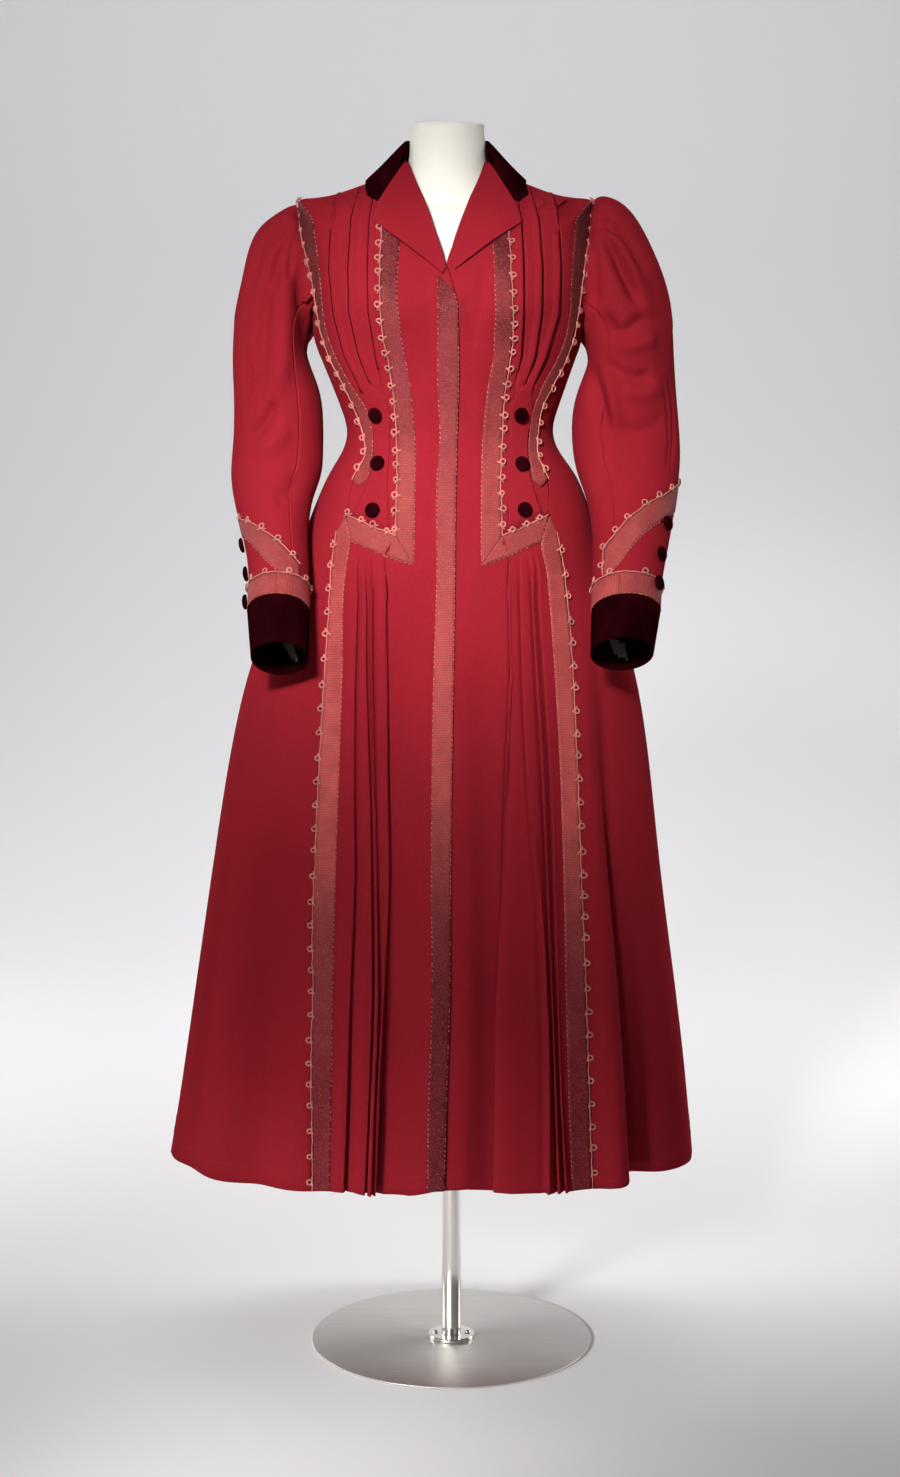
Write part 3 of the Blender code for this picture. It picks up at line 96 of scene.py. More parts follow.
# view (front, back, outer side), then the line as (across, height) points, half width and depth, in millimetres;
# depth is + for a ridge and - for a trough
CREASES = {
    "sleeve_upper_r": (
        ("front", ((-192, 1453), (-213, 1439), (-225, 1416)), 5, -3.0),
        ("front", ((-192, 1449), (-205, 1428), (-215, 1392), (-219, 1357)), 6, -4.2),
        ("front", ((-191, 1441), (-197, 1412), (-201, 1372)), 5, -3.4),
        ("front", ((-198, 1457), (-222, 1445), (-239, 1412), (-245, 1368)), 5, -2.8),
        ("front", ((-203, 1408), (-205, 1337), (-208, 1281), (-220, 1225)), 12, 4.6),
        ("front", ((-187, 1416), (-181, 1357), (-173, 1301), (-164, 1265)), 13, -5.0),
        ("front", ((-227, 1384), (-232, 1321), (-236, 1249), (-247, 1193)), 9, -3.6),
        ("front", ((-257, 1181), (-243, 1191), (-227, 1209), (-216, 1233)), 8, -6.5),
        ("front", ((-251, 1165), (-225, 1173), (-200, 1201)), 10, 4.0),
        ("front", ((-255, 1297), (-258, 1249), (-262, 1209)), 2.6, -1.9),
        ("front", ((-249, 1289), (-252, 1241), (-257, 1201)), 2.6, -1.9),
        ("front", ((-242, 1265), (-247, 1229), (-252, 1193)), 2.6, -1.6),
        ("front", ((-264, 1249), (-266, 1217), (-265, 1185)), 2.6, -1.7),
        ("front", ((-221, 1105), (-201, 1117), (-185, 1145)), 9, -3.0),
        ("back", ((192, 1455), (206, 1420), (214, 1370)), 6, -3.6),
        ("back", ((200, 1458), (226, 1425), (240, 1375)), 6, -3.2),
        ("back", ((190, 1440), (193, 1390), (196, 1345)), 7, 3.0),
        ("back", ((262, 1170), (235, 1190), (205, 1225)), 9, -4.0),
        ("back", ((258, 1140), (230, 1150), (200, 1165)), 9, 3.0),
        ("side_r", ((20, 1450), (10, 1390), (16, 1320)), 8, -3.0),
        ("side_r", ((-12, 1455), (-18, 1380), (-8, 1300)), 9, 3.0),
    ),
    "sleeve_upper_l": (
        ("front", ((175, 1461), (184, 1466), (194, 1467)), 3, -2.8),
        ("front", ((175, 1451), (186, 1457), (202, 1455)), 3.5, -3.4),
        ("front", ((174, 1442), (190, 1445), (207, 1433)), 4, -3.4),
        ("front", ((183, 1435), (199, 1413), (213, 1384), (234, 1344)), 7, -8.0),
        ("front", ((196, 1433), (217, 1402), (234, 1366)), 8, 4.0),
        ("front", ((198, 1449), (221, 1421), (242, 1378)), 6, -4.0),
        ("front", ((175, 1431), (174, 1386), (177, 1338)), 8, -4.0),
        ("front", ((183, 1346), (197, 1316), (214, 1314), (234, 1328), (263, 1326)), 8, -6.0),
        ("front", ((200, 1297), (224, 1297), (257, 1310)), 9, 4.0),
        ("front", ((185, 1285), (204, 1265), (229, 1257), (255, 1263)), 8, -5.0),
        ("front", ((208, 1241), (237, 1238), (266, 1249)), 9, 3.5),
        ("front", ((165, 1281), (177, 1249), (188, 1216), (196, 1187)), 9, -7.5),
        ("front", ((192, 1273), (198, 1232), (203, 1192)), 9, 4.0),
        ("front", ((200, 1198), (229, 1192), (256, 1202), (270, 1216)), 9, -3.4),
        ("front", ((268, 1273), (277, 1224), (278, 1179), (271, 1134)), 2.6, -1.9),
        ("front", ((262, 1257), (271, 1216), (272, 1175), (266, 1138)), 2.6, -1.7),
        ("front", ((174, 1122), (193, 1134), (209, 1159)), 9, -2.8),
        ("back", ((-178, 1455), (-196, 1415), (-208, 1360)), 6, -4.0),
        ("back", ((-188, 1460), (-216, 1425), (-236, 1380)), 6, -3.4),
        ("back", ((-205, 1350), (-235, 1330), (-262, 1335)), 9, -3.6),
        ("back", ((-268, 1180), (-238, 1196), (-206, 1230)), 9, -4.0),
        ("side_l", ((20, 1440), (28, 1380), (20, 1310)), 8, -3.0),
        ("side_l", ((-30, 1440), (-22, 1370), (-30, 1290)), 9, 2.6),
    ),
    "front_l": (
        ("front", ((14, 1362), (24, 1330), (30, 1290)), 9, -2.4),
        ("front", ((40, 1400), (36, 1352), (32, 1318)), 8, -2.0),
        ("front", ((26, 1290), (34, 1230), (32, 1180)), 10, 1.6),
    ),
    "front_r": (
        ("front", ((-58, 1330), (-44, 1290), (-36, 1240)), 9, -1.6),
        ("front", ((-40, 1180), (-34, 1120), (-36, 1060)), 10, 1.2),
    ),
}

# the skirt's soft folds: degrees round from the front at the hip and at the hem, half width in degrees, height
# where the fold has faded out, and depth at the hem in millimetres
SKIRT_FOLDS = (
    (-22, -20, 7, 1000, -4.5), (-11, -12, 5, 900, 2.0), (12, 11, 6, 900, 2.2), (22, 17, 5, 820, -3.0),
    (58, 56, 3.4, 980, 13.0), (65, 62.5, 3.6, 1000, -27.0), (74, 73, 6, 900, 6.0), (84, 84, 6, 860, -5.5),
    (-47, -47, 5, 900, 5.5), (-57, -57, 4.5, 900, -9.0), (-66, -67, 5, 860, 6.0), (-76, -78, 4.5, 940, -8.0),
    (-93, -95, 7, 900, 3.2), (101, 103, 7, 900, 4.0), (114, 116, 6, 960, -6.0), (128, 130, 7, 900, 4.4),
    (141, 143, 6, 980, -6.5), (156, 157, 7, 900, 4.0), (170, 171, 5, 960, -5.0), (-106, -108, 6, 960, -5.6),
    (-120, -121, 7, 880, 4.2), (-134, -136, 6, 980, -6.0), (-149, -150, 7, 900, 3.8), (-163, -164, 6, 940, -5.2),
)
# the front ends of the collar's fall, which lie on the shoulders under the lapels: (from, to) across the end
COLLAR_ENDS = {
    "r": (((-107, -39, 1494.5), (-81, -40, 1508), (-62, -22, 1532)),
          ((-104.5, -62, 1485), (-91, -74, 1471), (-70, -70, 1496))),
    "l": (((92, -39, 1494), (67, -40, 1508), (50, -22, 1532)),
          ((93, -62, 1486), (79, -74, 1470), (58, -70, 1496))),
}
CENTRE_TOP = (9 * MM, -8 * MM)
# corners (x, z) in millimetres of the lit patch of lining that shows inside each cuff; round it the velvet stands for
# the facing and for painted shade inside the sleeve
LINING_PATCH = {"r": ((-211, 938), (-196, 935), (-186, 911), (-197, 917)),
                "l": ((193, 941), (214, 932), (217, 914), (200, 920))}
MITRE_HEIGHTS = (1.015, 1.078)
SEAM_FOOT = 0.33  # the back's seam rolls end above the hem
CUT_SLICES = 25  # slices in which a sheet's width and length are measured


# heights between which each tuck shows, and a tuck's cross-section: (back from its fold edge, rise) in millimetres
TUCK_ENDS = ((1268, 1487), (1252, 1490), (1240, 1493))
TUCK_PROFILE = ((9.0, -0.5), (7.5, 0.15), (5.0, 0.9), (2.4, 1.8), (0.7, 2.3), (-0.4, 1.7), (0.0, 0.7), (1.0, -0.4))


def settings():
    return bpy.context.scene.coat_looks


def curve_at(rows, column, at):
    """A table's value at this height, along straight lines between its rows."""
    table = np.array(sorted(rows), float)
    return np.interp(at, table[:, 0], table[:, column])


def smooth(t):
    t = np.clip(t, 0.0, 1.0)
    return t * t * (3 - 2 * t)


def unit(vectors):
    length = np.linalg.norm(vectors, axis=-1, keepdims=True)
    return vectors / np.where(length < 1e-12, 1.0, length)


def node_mesh(name):
    """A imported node's points and triangles, with points that coincide made one."""
    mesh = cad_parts[name].data
    mesh.calc_loop_triangles()
    points = np.empty(len(mesh.vertices) * 3)
    mesh.vertices.foreach_get("co", points)
    faces = np.empty(len(mesh.loop_triangles) * 3, int)
    mesh.loop_triangles.foreach_get("vertices", faces)
    points = points.reshape(-1, 3)
    keys = np.round(points / SAME_POINT).astype(int)
    _, first, index = np.unique(keys, axis=0, return_index=True, return_inverse=True)
    faces = index.reshape(-1)[faces.reshape(-1, 3)]
    whole = (faces[:, 0] != faces[:, 1]) & (faces[:, 1] != faces[:, 2]) & (faces[:, 0] != faces[:, 2])
    return points[first], faces[whole]


def from_body(places):
    """Roughly outwards from the middle of the coat at each place."""
    away = np.array(places, float)
    away[:, 0] -= CORE[0]
    high = places[:, 2] > CORE[2]
    away[~high, 2] = 0.0
    away[~high, 1] *= 1.5
    away[~high & (places[:, 1] < FRONT_LIMIT), 0] *= FRONT_LEAN
    away[high, 0] *= 0.45
    away[high, 2] -= CORE[2]
    return unit(away)


def from_collar_line(places):
    flat = places - np.array((COLLAR_CORE[0], 0, COLLAR_CORE[2]))
    round_it = flat.copy()
    round_it[:, 2] = 0
    return unit(flat - unit(round_it) * COLLAR_CORE[1])


def forwards(places):
    return unit(np.tile((0.0, -1.0, 0.4), (len(places), 1)))


def from_sleeve(side):
    """Outwards from the middle of the sleeve at each place."""
    names = [f"{part}_{side}" for part in ("sleeve_upper", "sleeve_under", "cuff")]
    cloud = np.vstack([node_mesh(name)[0] for name in names])
    heights = np.linspace(cloud[:, 2].min(), cloud[:, 2].max(), 40)
    middles = []
    for z in heights:
        near = cloud[np.abs(cloud[:, 2] - z) < SLEEVE_SLICE]
        middles.append((near.min(axis=0) + near.max(axis=0)) / 2)
    middles = np.array(middles)

    def away(places):
        x = np.interp(places[:, 2], heights, middles[:, 0])
        y = np.interp(places[:, 2], heights, middles[:, 1])
        out = places - np.stack((x, y, places[:, 2]), axis=1)
        return unit(out)

    return away


def outer_sheet(name, outward):
    """The side of a packed cloth wall that shows: its points and triangles."""
    points, faces = node_mesh(name)
    corners = points[faces]
    centres = corners.mean(axis=1)
    normals = unit(np.cross(corners[:, 1] - corners[:, 0], corners[:, 2] - corners[:, 0]))
    facing = np.sum(normals * outward(centres), axis=1)
    tree = BVHTree.FromPolygons([Vector(point) for point in points], faces.tolist())
    votes = np.zeros((len(points), 2), int)
    for k, face in enumerate(faces):
        inward = -Vector(normals[k])
        _, met, _, _ = tree.ray_cast(Vector(centres[k]) + inward * SAME_POINT, inward, WALL_REACH)
        if met is None or met.dot(-inward) > WALL_FACING or abs(facing[k]) < OUTWARD_LEAST:
            continue
        votes[face, 0 if facing[k] > 0 else 1] += 1
    label = np.sign(votes[:, 0] - votes[:, 1])
    ends = np.unique(np.sort(np.vstack((faces[:, :2], faces[:, 1:], faces[:, ::2])), axis=1), axis=0)
    ends = ends[np.linalg.norm(points[ends[:, 0]] - points[ends[:, 1]], axis=1) > LONG_EDGE]
    for _ in range(4):
        said = np.zeros(len(points))
        np.add.at(said, ends[:, 0], label[ends[:, 1]])
        np.add.at(said, ends[:, 1], label[ends[:, 0]])
        label = np.where(label == 0, np.sign(said), label)
    shown = label > 0
    kept = faces[shown[faces].all(axis=1)]
    used, index = np.unique(kept, return_inverse=True)
    return points[used], index.reshape(-1, 3)


def add_piece(name, points, faces, material):
    mesh = bpy.data.meshes.new(name)
    mesh.from_pydata([tuple(point) for point in points], [], [tuple(int(k) for k in face) for face in faces])
    mesh.update()
    thing = bpy.data.objects.new(name, mesh)
    bpy.context.scene.collection.objects.link(thing)
    if material:
        mesh.materials.append(finish(material))
    return thing


def shade(thing):
    for face in thing.data.polygons:
        face.use_smooth = True


def joined_to_quads(thing):
    work = bmesh.new()
    work.from_mesh(thing.data)
    bmesh.ops.join_triangles(
        work, faces=work.faces, angle_face_threshold=math.pi, angle_shape_threshold=math.pi
    )
    work.to_mesh(thing.data)
    work.free()


def finer(thing, levels):
    """Subdivides the piece into a smooth surface that still runs through its own points."""
    joined_to_quads(thing)
    mesh = thing.data
    count = len(mesh.vertices)
    wanted = np.empty(count * 3)
    mesh.vertices.foreach_get("co", wanted)
    held = wanted.copy()
    sub = thing.modifiers.new("finer", "SUBSURF")
    sub.levels = sub.render_levels = 1
    sub.boundary_smooth = "PRESERVE_CORNERS"
    for _ in range(3):
        graph = bpy.context.evaluated_depsgraph_get()
        shown = thing.evaluated_get(graph).data
        now = np.empty(len(shown.vertices) * 3)
        shown.vertices.foreach_get("co", now)
        held += wanted - now[: count * 3]
        mesh.vertices.foreach_set("co", held)
        mesh.update()
    sub.levels = sub.render_levels = levels
    graph = bpy.context.evaluated_depsgraph_get()
    fine = bpy.data.meshes.new_from_object(thing.evaluated_get(graph))
    thing.modifiers.remove(sub)
    thing.data = fine
    fine.name = thing.name
    bpy.data.meshes.remove(mesh)
    shade(thing)


def coordinates(thing):
    points = np.empty(len(thing.data.vertices) * 3)
    thing.data.vertices.foreach_get("co", points)
    return points.reshape(-1, 3)


def upright(thing):
    normals = np.empty(len(thing.data.vertices) * 3)
    thing.data.vertex_normals.foreach_get("vector", normals)
    return normals.reshape(-1, 3)


def move_points(thing, points):
    thing.data.vertices.foreach_set("co", np.ascontiguousarray(points).ravel())
    thing.data.update()


def along_line(places, line):
    """Each place's distance from a polyline and its share of the way along it."""
    line = np.array(line, float)
    steps = np.linalg.norm(np.diff(line, axis=0), axis=1)
    starts = np.concatenate(([0], np.cumsum(steps)))
    best = np.full(len(places), np.inf)
    share = np.zeros(len(places))
    for k, step in enumerate(steps):
        run = line[k + 1] - line[k]
        t = np.clip(((places - line[k]) @ run) / (step * step), 0, 1)
        away = np.linalg.norm(places - (line[k] + t[:, None] * run), axis=1)
        nearer = away < best
        best[nearer] = away[nearer]
        share[nearer] = ((starts[k] + t * step) / starts[-1])[nearer]
    return best, share


VIEWS = {"front": ((1, 0, 0), (0, -1, 0)), "back": ((-1, 0, 0), (0, 1, 0)),
         "side_l": ((0, 1, 0), (1, 0, 0)), "side_r": ((0, -1, 0), (-1, 0, 0))}


def crease(thing, rows):
    """Presses soft troughs and ridges into the cloth, each along a line seen from one view."""
    points, normals = coordinates(thing), upright(thing)
    lift = np.zeros(len(points))
    for view, line, width, depth in rows:
        across, towards = (np.array(vector, float) for vector in VIEWS[view])
        places = np.stack((points @ across, points[:, 2]), axis=1) / MM
        away, share = along_line(places, line)
        ends = smooth(share / 0.25) * smooth((1 - share) / 0.25)
        seen = smooth((normals @ towards) / 0.5)
        lift += depth * np.exp(-((away / width) ** 2)) * ends * seen
    move_points(thing, points + normals * lift[:, None] * MM * settings().crease_depth)


def press_pleats(thing, side):
    """Draws each knife pleat's fold edge over the layer beside it."""
    points = coordinates(thing)
    looks = settings()
    z = points[:, 2] / MM
    x = points[:, 0] / MM
    sign = SIGN[side]
    grow = smooth((1045 - z) / 60)
    shift, hollow = np.zeros(len(points)), np.zeros(len(points))
    lines = [curve_at(PLEAT_EDGE[side], 1, z)] + [curve_at(PLEATS[side], k, z) for k in (1, 2, 3)]
    for line in lines:
        beyond = sign * (x - line)
        shift = np.maximum(shift, smooth(beyond / 2.2) * (1 - smooth((beyond - 2.5) / 9)))
        hollow = np.maximum(hollow, np.exp(-(((beyond + 1.0) / 2.6) ** 2)))
    inside = smooth(sign * (x - lines[0]) / 4)
    points[:, 0] -= sign * shift * grow * looks.pleat_overlap
    points[:, 1] += hollow * inside * grow * looks.pleat_hollow
    move_points(thing, points)


def press_tucks(thing, side):
    points = coordinates(thing)
    x, z = points[:, 0] / MM, points[:, 2] / MM
    sign = SIGN[side]
    grow = smooth((z - 1238) / 25) * smooth((1478 - z) / 12) * smooth((-points[:, 1] / MM - 8) / 20)
    shift = np.zeros(len(points))
    for k in (1, 2, 3):
        beyond = sign * (x - curve_at(TUCKS[side], k, z))
        shift = np.maximum(shift, np.exp(-(((beyond - 1.2) / 1.8) ** 2)))
    points[:, 1] += shift * grow * settings().tuck_hollow
    move_points(thing, points)


def folded_tucks(thing, side):
    """Adds each tuck's folded layer, free along its outer edge, on the yoke's face."""
    looks = settings()
    points = [Vector(place) for place in coordinates(thing)]
    tree = BVHTree.FromPolygons(points, [tuple(face.vertices) for face in thing.data.polygons])
    work = bmesh.new()
    work.from_mesh(thing.data)
    sign = SIGN[side]
    for k, (low, high) in zip((1, 2, 3), TUCK_ENDS):
        heights = np.linspace(low, high, 90)
        rows = []
        for z in heights:
            line = float(curve_at(TUCKS[side], k, z))
            fade = float(smooth((z - low) / 30))
            row = []
            for back, rise in TUCK_PROFILE:
                x = (line - sign * back * (0.35 + 0.65 * fade)) * MM
                spot, normal, _, _ = tree.ray_cast(Vector((x, -0.4, z * MM)), Vector((0, 1, 0)))
                if spot is None or normal.y > -0.12:
                    row = None
                    break
                row.append(work.verts.new(spot + normal * rise * MM * (0.25 + 0.75 * fade)))
            rows.append(row)
        for a, b in zip(rows, rows[1:]):
            if a is None or b is None:
                continue
            for m in range(len(TUCK_PROFILE) - 1):
                corners = (a[m], b[m], b[m + 1], a[m + 1])
                face = work.faces.new(corners if sign < 0 else corners[::-1])
                face.smooth = True
    loose = [point for point in work.verts if not point.link_faces]
    bmesh.ops.delete(work, geom=loose, context="VERTS")
    work.to_mesh(thing.data)
    work.free()


def skirt_folds(thing):
    """Lets the skirt fall in soft folds that grow towards the hem."""
    points, normals = coordinates(thing), upright(thing)
    turn = np.degrees(np.arctan2(points[:, 0] - CORE[0], -points[:, 1]))
    z = points[:, 2] / MM
    lift = np.zeros(len(points))
    for hip, hem, width, top, depth in SKIRT_FOLDS:
        share = np.clip((top - z) / (top - 250), 0, 1)
        middle = hem + (hip - hem) * (1 - share)
        away = (turn - middle + 180) % 360 - 180
        lift += depth * smooth(share) ** 0.8 * np.exp(-((away / (width * (0.75 + 0.35 * share))) ** 2))
    flat = normals * (1, 1, 0)
    move_points(thing, points + unit(flat) * lift[:, None] * MM)


def hem_line(thing):
    """Lifts and drops the hem as the cloth hangs, without changing the outline above it."""
    points = coordinates(thing)
    turn = np.degrees(np.arctan2(points[:, 0] - CORE[0], -points[:, 1]))
    low = smooth((330 * MM - points[:, 2]) / (80 * MM))
    rows = np.array((
        (-180, 0), (-120, 0), (-92, 4), (-75, 4), (-58, 2), (-45, 0), (-32, -1), (-24, -8), (-14, -8), (-4, 0),
        (8, 2), (17, -2), (24, -4), (38, -4), (52, 0), (58, 6), (66, 9), (90, 6), (120, 0), (180, 0),
    ), float)
    points[:, 2] += np.interp(turn, rows[:, 0], rows[:, 1]) * MM * low
    move_points(thing, points)


def thicken(thing, thickness):
    wall = thing.modifiers.new("thickness", "SOLIDIFY")
    wall.thickness = thickness
    wall.offset = -1
    wall.use_even_offset = False
    wall.use_quality_normals = True


def surface_area(thing):
    return sum(face.area for face in thing.data.polygons)


def cut_size(thing):
    """(width, length) of the flat cut: the longest slice across, and the way from end to end."""
    points = coordinates(thing)
    heights = np.linspace(points[:, 2].min(), points[:, 2].max(), CUT_SLICES + 1)
    edges = np.empty(len(thing.data.edges) * 2, int)
    thing.data.edges.foreach_get("vertices", edges)
    a, b = points[edges.reshape(-1, 2)[:, 0]], points[edges.reshape(-1, 2)[:, 1]]
    widest, middles = 0.0, []
    for height in heights[1:-1]:
        cross = (a[:, 2] - height) * (b[:, 2] - height) < 0
        if cross.sum() < 2:
            continue
        t = (height - a[cross, 2]) / (b[cross, 2] - a[cross, 2])
        row = a[cross] + (b[cross] - a[cross]) * t[:, None]
        middles.append(row.mean(axis=0))
        chain = ordered(row)
        widest = max(widest, np.linalg.norm(np.diff(chain, axis=0), axis=1).sum())
    middles = np.array(middles)
    length = np.linalg.norm(np.diff(middles, axis=0), axis=1).sum() * CUT_SLICES / (CUT_SLICES - 2)
    return widest, length


def ordered(row):
    """Points of one slice from one end to the other, each the nearest to the last."""
    left = list(range(len(row)))
    middle = row.mean(axis=0)
    first = int(np.argmax(np.linalg.norm(row - middle, axis=1)))
    chain = [first]
    left.remove(first)
    while left:
        gaps = np.linalg.norm(row[left] - row[chain[-1]], axis=1)
        chain.append(left.pop(int(np.argmin(gaps))))
    return row[chain]


def declare_cloth(thing, node, flat=None):
    """Rides the piece and hides its solid; the sheet's cut is measured but not kept."""
    area = surface_area(thing)
    width, length = flat or cut_size(thing)
    if area > width * length:
        length = area / width * 1.01
    area = max(area, 0.31 * width * length)
    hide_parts(node)
    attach(thing, "root")


def edge_owners(faces):
    owners = {}
    for k, face in enumerate(faces):
        for a, b in ((face[0], face[1]), (face[1], face[2]), (face[2], face[0])):
            owners.setdefault(frozenset((int(a), int(b))), []).append(k)
    return owners


def strip_edges(points, faces):
    """The two long edges of a one-cell-wide strip of triangles, from its top end to its foot."""
    owners = edge_owners(faces)
    borders = [0] * len(faces)
    for ks in owners.values():
        if len(ks) == 1:
            borders[ks[0]] += 1
    ends = [k for k, count in enumerate(borders) if count == 2]
    start = max(ends, key=lambda k: points[faces[k]][:, 2].mean())
    inner = next(edge for edge, ks in owners.items() if len(ks) == 2 and start in ks)
    apex = next(int(v) for v in faces[start] if int(v) not in inner)
    p, q = inner
    centres = points[faces].mean(axis=1)
    k = next(m for m in owners[inner] if m != start)
    near = np.linalg.norm(centres - points[apex], axis=1) < 3 * np.linalg.norm(points[p] - points[q])
    heading = unit(centres[near].mean(axis=0) - points[apex])
    lean_p = abs(unit(points[p] - points[apex]) @ heading)
    lean_q = abs(unit(points[q] - points[apex]) @ heading)
    if lean_p < lean_q:
        left, right = [p], [apex, q]
    else:
        left, right = [apex, p], [q]
    while True:
        current = frozenset((left[-1], right[-1]))
        v = next(int(m) for m in faces[k] if int(m) not in current)
        onward = None
        for side, other in ((left, right), (right, left)):
            edge = frozenset((v, other[-1]))
            nexts = [m for m in owners[edge] if m != k]
            if nexts:
                onward = (side, nexts[0])
        if onward is None:
            near = np.linalg.norm(centres - centres[k], axis=1) < 0.07
            heading = unit(centres[k] - centres[near].mean(axis=0))
            ahead_left = abs(unit(points[v] - points[left[-1]]) @ heading)
            ahead_right = abs(unit(points[v] - points[right[-1]]) @ heading)
            (left if ahead_left > ahead_right else right).append(v)
            return points[left], points[right]
        onward[0].append(v)
        k = onward[1]


def border_loops(points, faces):
    following = {}
    for face in faces:
        for a, b in ((face[0], face[1]), (face[1], face[2]), (face[2], face[0])):
            following[(int(a), int(b))] = True
    nexts = {a: b for (a, b) in following if (b, a) not in following}
    loops = []
    while nexts:
        start = next(iter(nexts))
        loop = [start]
        while loop[-1] in nexts:
            step = nexts.pop(loop[-1])
            if step == start:
                break
            loop.append(step)
        loops.append(points[loop])
    return loops


def panel_border(name):
    """The longest border of a finished panel."""
    thing = bpy.data.objects[name]
    faces = [tuple(face.vertices) for face in thing.data.polygons]
    triangles = [f[:3] for f in faces] + [(f[0], f[2], f[3]) for f in faces if len(f) > 3]
    return max(border_loops(coordinates(thing), np.array(triangles)), key=len)


def spline(chain, step, closed=False):
    """A smooth line through the chain's points, in even steps."""
    chain = np.array(chain, float)
    if closed:
        padded = np.vstack((chain[-1:], chain, chain[:2]))
    else:
        padded = np.vstack((2 * chain[0] - chain[1], chain, 2 * chain[-1] - chain[-2]))
    fine = []
    for k in range(1, len(padded) - 2):
        p0, p1, p2, p3 = padded[k - 1 : k + 3]
        gaps = [max(np.linalg.norm(b - a), 1e-7) ** 0.5 for a, b in ((p0, p1), (p1, p2), (p2, p3))]
        m1 = (p1 - p0) / gaps[0] - (p2 - p0) / (gaps[0] + gaps[1]) + (p2 - p1) / gaps[1]
        m2 = (p2 - p1) / gaps[1] - (p3 - p1) / (gaps[1] + gaps[2]) + (p3 - p2) / gaps[2]
        m1, m2 = m1 * gaps[1], m2 * gaps[1]
        for t in np.linspace(0, 1, 9)[:-1]:
            fine.append(
                (2 * t**3 - 3 * t**2 + 1) * p1 + (t**3 - 2 * t**2 + t) * m1
                + (-2 * t**3 + 3 * t**2) * p2 + (t**3 - t**2) * m2
            )
    fine.append(padded[-2])
    return even(np.array(fine), step)


def even(line, step=None, count=None):
    """The line's points in equal steps."""
    lengths = np.concatenate(([0], np.cumsum(np.linalg.norm(np.diff(line, axis=0), axis=1))))
    count = count or max(int(round(lengths[-1] / step)), 1) + 1
    at = np.linspace(0, lengths[-1], count)
    return np.stack([np.interp(at, lengths, line[:, k]) for k in range(3)], axis=1)


def turns_sharply(chain, limit=48):
    """Where a chain turns a corner, with points closer than a millimetre taken as one."""
    chain = [chain[0]] + [p for k, p in enumerate(chain[1:]) if np.linalg.norm(p - chain[k]) > MM]
    chain = np.array(chain)
    found = []
    for k in range(1, len(chain) - 1):
        a, b = unit(chain[k] - chain[k - 1]), unit(chain[k + 1] - chain[k])
        if math.degrees(math.acos(np.clip(a @ b, -1, 1))) > limit:
            found.append(k)
    return chain, found


def stretches(chain):
    """The chain cut where it turns at the front ribbon's mitre."""
    chain, corners = turns_sharply(chain)
    corners = [k for k in corners if MITRE_HEIGHTS[0] < chain[k][2] < MITRE_HEIGHTS[1]]
    cuts = [0] + corners[:1] + [len(chain) - 1]
    return [chain[a : b + 1] for a, b in zip(cuts, cuts[1:])]


class Cloth:
    """The finished faces that trim is laid on."""

    def __init__(self, names):
        points, faces = [], []
        for name in names:
            thing = bpy.data.objects[name]
            start = len(points)
            points += [Vector(place) for place in coordinates(thing)]
            faces += [[start + k for k in face.vertices] for face in thing.data.polygons]
        self.tree = BVHTree.FromPolygons(points, faces)

    def laid(self, places, lift):
        """The places moved onto the cloth and lifted off it, with the cloth's normals there."""
        out, normals = [], []
        for place in places:
            spot, normal, _, _ = self.tree.find_nearest(Vector(place))
            out.append(np.array(spot + normal * lift))
            normals.append(np.array(normal))
        return np.array(out), np.array(normals)


def smoothed_normals(normals, rounds=3):
    for _ in range(rounds):
        padded = np.vstack((normals[:1], normals, normals[-1:]))
        normals = unit(padded[:-2] + padded[1:-1] * 2 + padded[2:])
    return normals


ACROSS = 7


def ribbon_piece(name, runs, cloth, lift, point=0.0):
    """A ribbon over pairs of edge lines, with its own measure on each point and an end drawn out to a point."""
    looks = settings()
    corners, faces, grain = [], [], []
    for left, right in runs:
        count = max(int(round(np.linalg.norm(np.diff(left, axis=0), axis=1).sum() / looks.ribbon_step)), 2) + 1
        left, right = even(left, count=count), even(right, count=count)
        start = len(corners)
        middle = (left + right) / 2
        gone = np.concatenate(([0], np.cumsum(np.linalg.norm(np.diff(middle, axis=0), axis=1))))
        ahead = unit(np.gradient(middle, axis=0))
        onwards = unit(middle[-1] - middle[-2])
        for k in range(ACROSS):
            t = k / (ACROSS - 1)
            line = left + (right - left) * t
            peak = point * (1 - abs(2 * t - 1)) * smooth((gone - gone[-1] + 0.012) / 0.012)
            row, _ = cloth.laid(line + onwards * peak[:, None], lift)
            corners += list(row)
            for i in range(count):
                drift = (left[i] + (right[i] - left[i]) * t - middle[i]) @ ahead[i]
                grain.append((gone[i] + drift, t, 0.0))
        for k in range(ACROSS - 1):
            for i in range(count - 1):
                a = start + k * count + i
                faces.append((a, a + 1, a + 1 + count, a + count))
    thing = add_piece(name, corners, faces, "ribbon")
    points = coordinates(thing)
    _, out = cloth.laid(points[:1], 0)
    face_out = Vector(out[0]).dot(thing.data.polygons[0].normal)
    if face_out < 0:
        thing.data.flip_normals()
    layer = thing.data.attributes.new("grain", "FLOAT_VECTOR", "POINT")
    layer.data.foreach_set("vector", np.array(grain).ravel())
    shade(thing)
    return thing


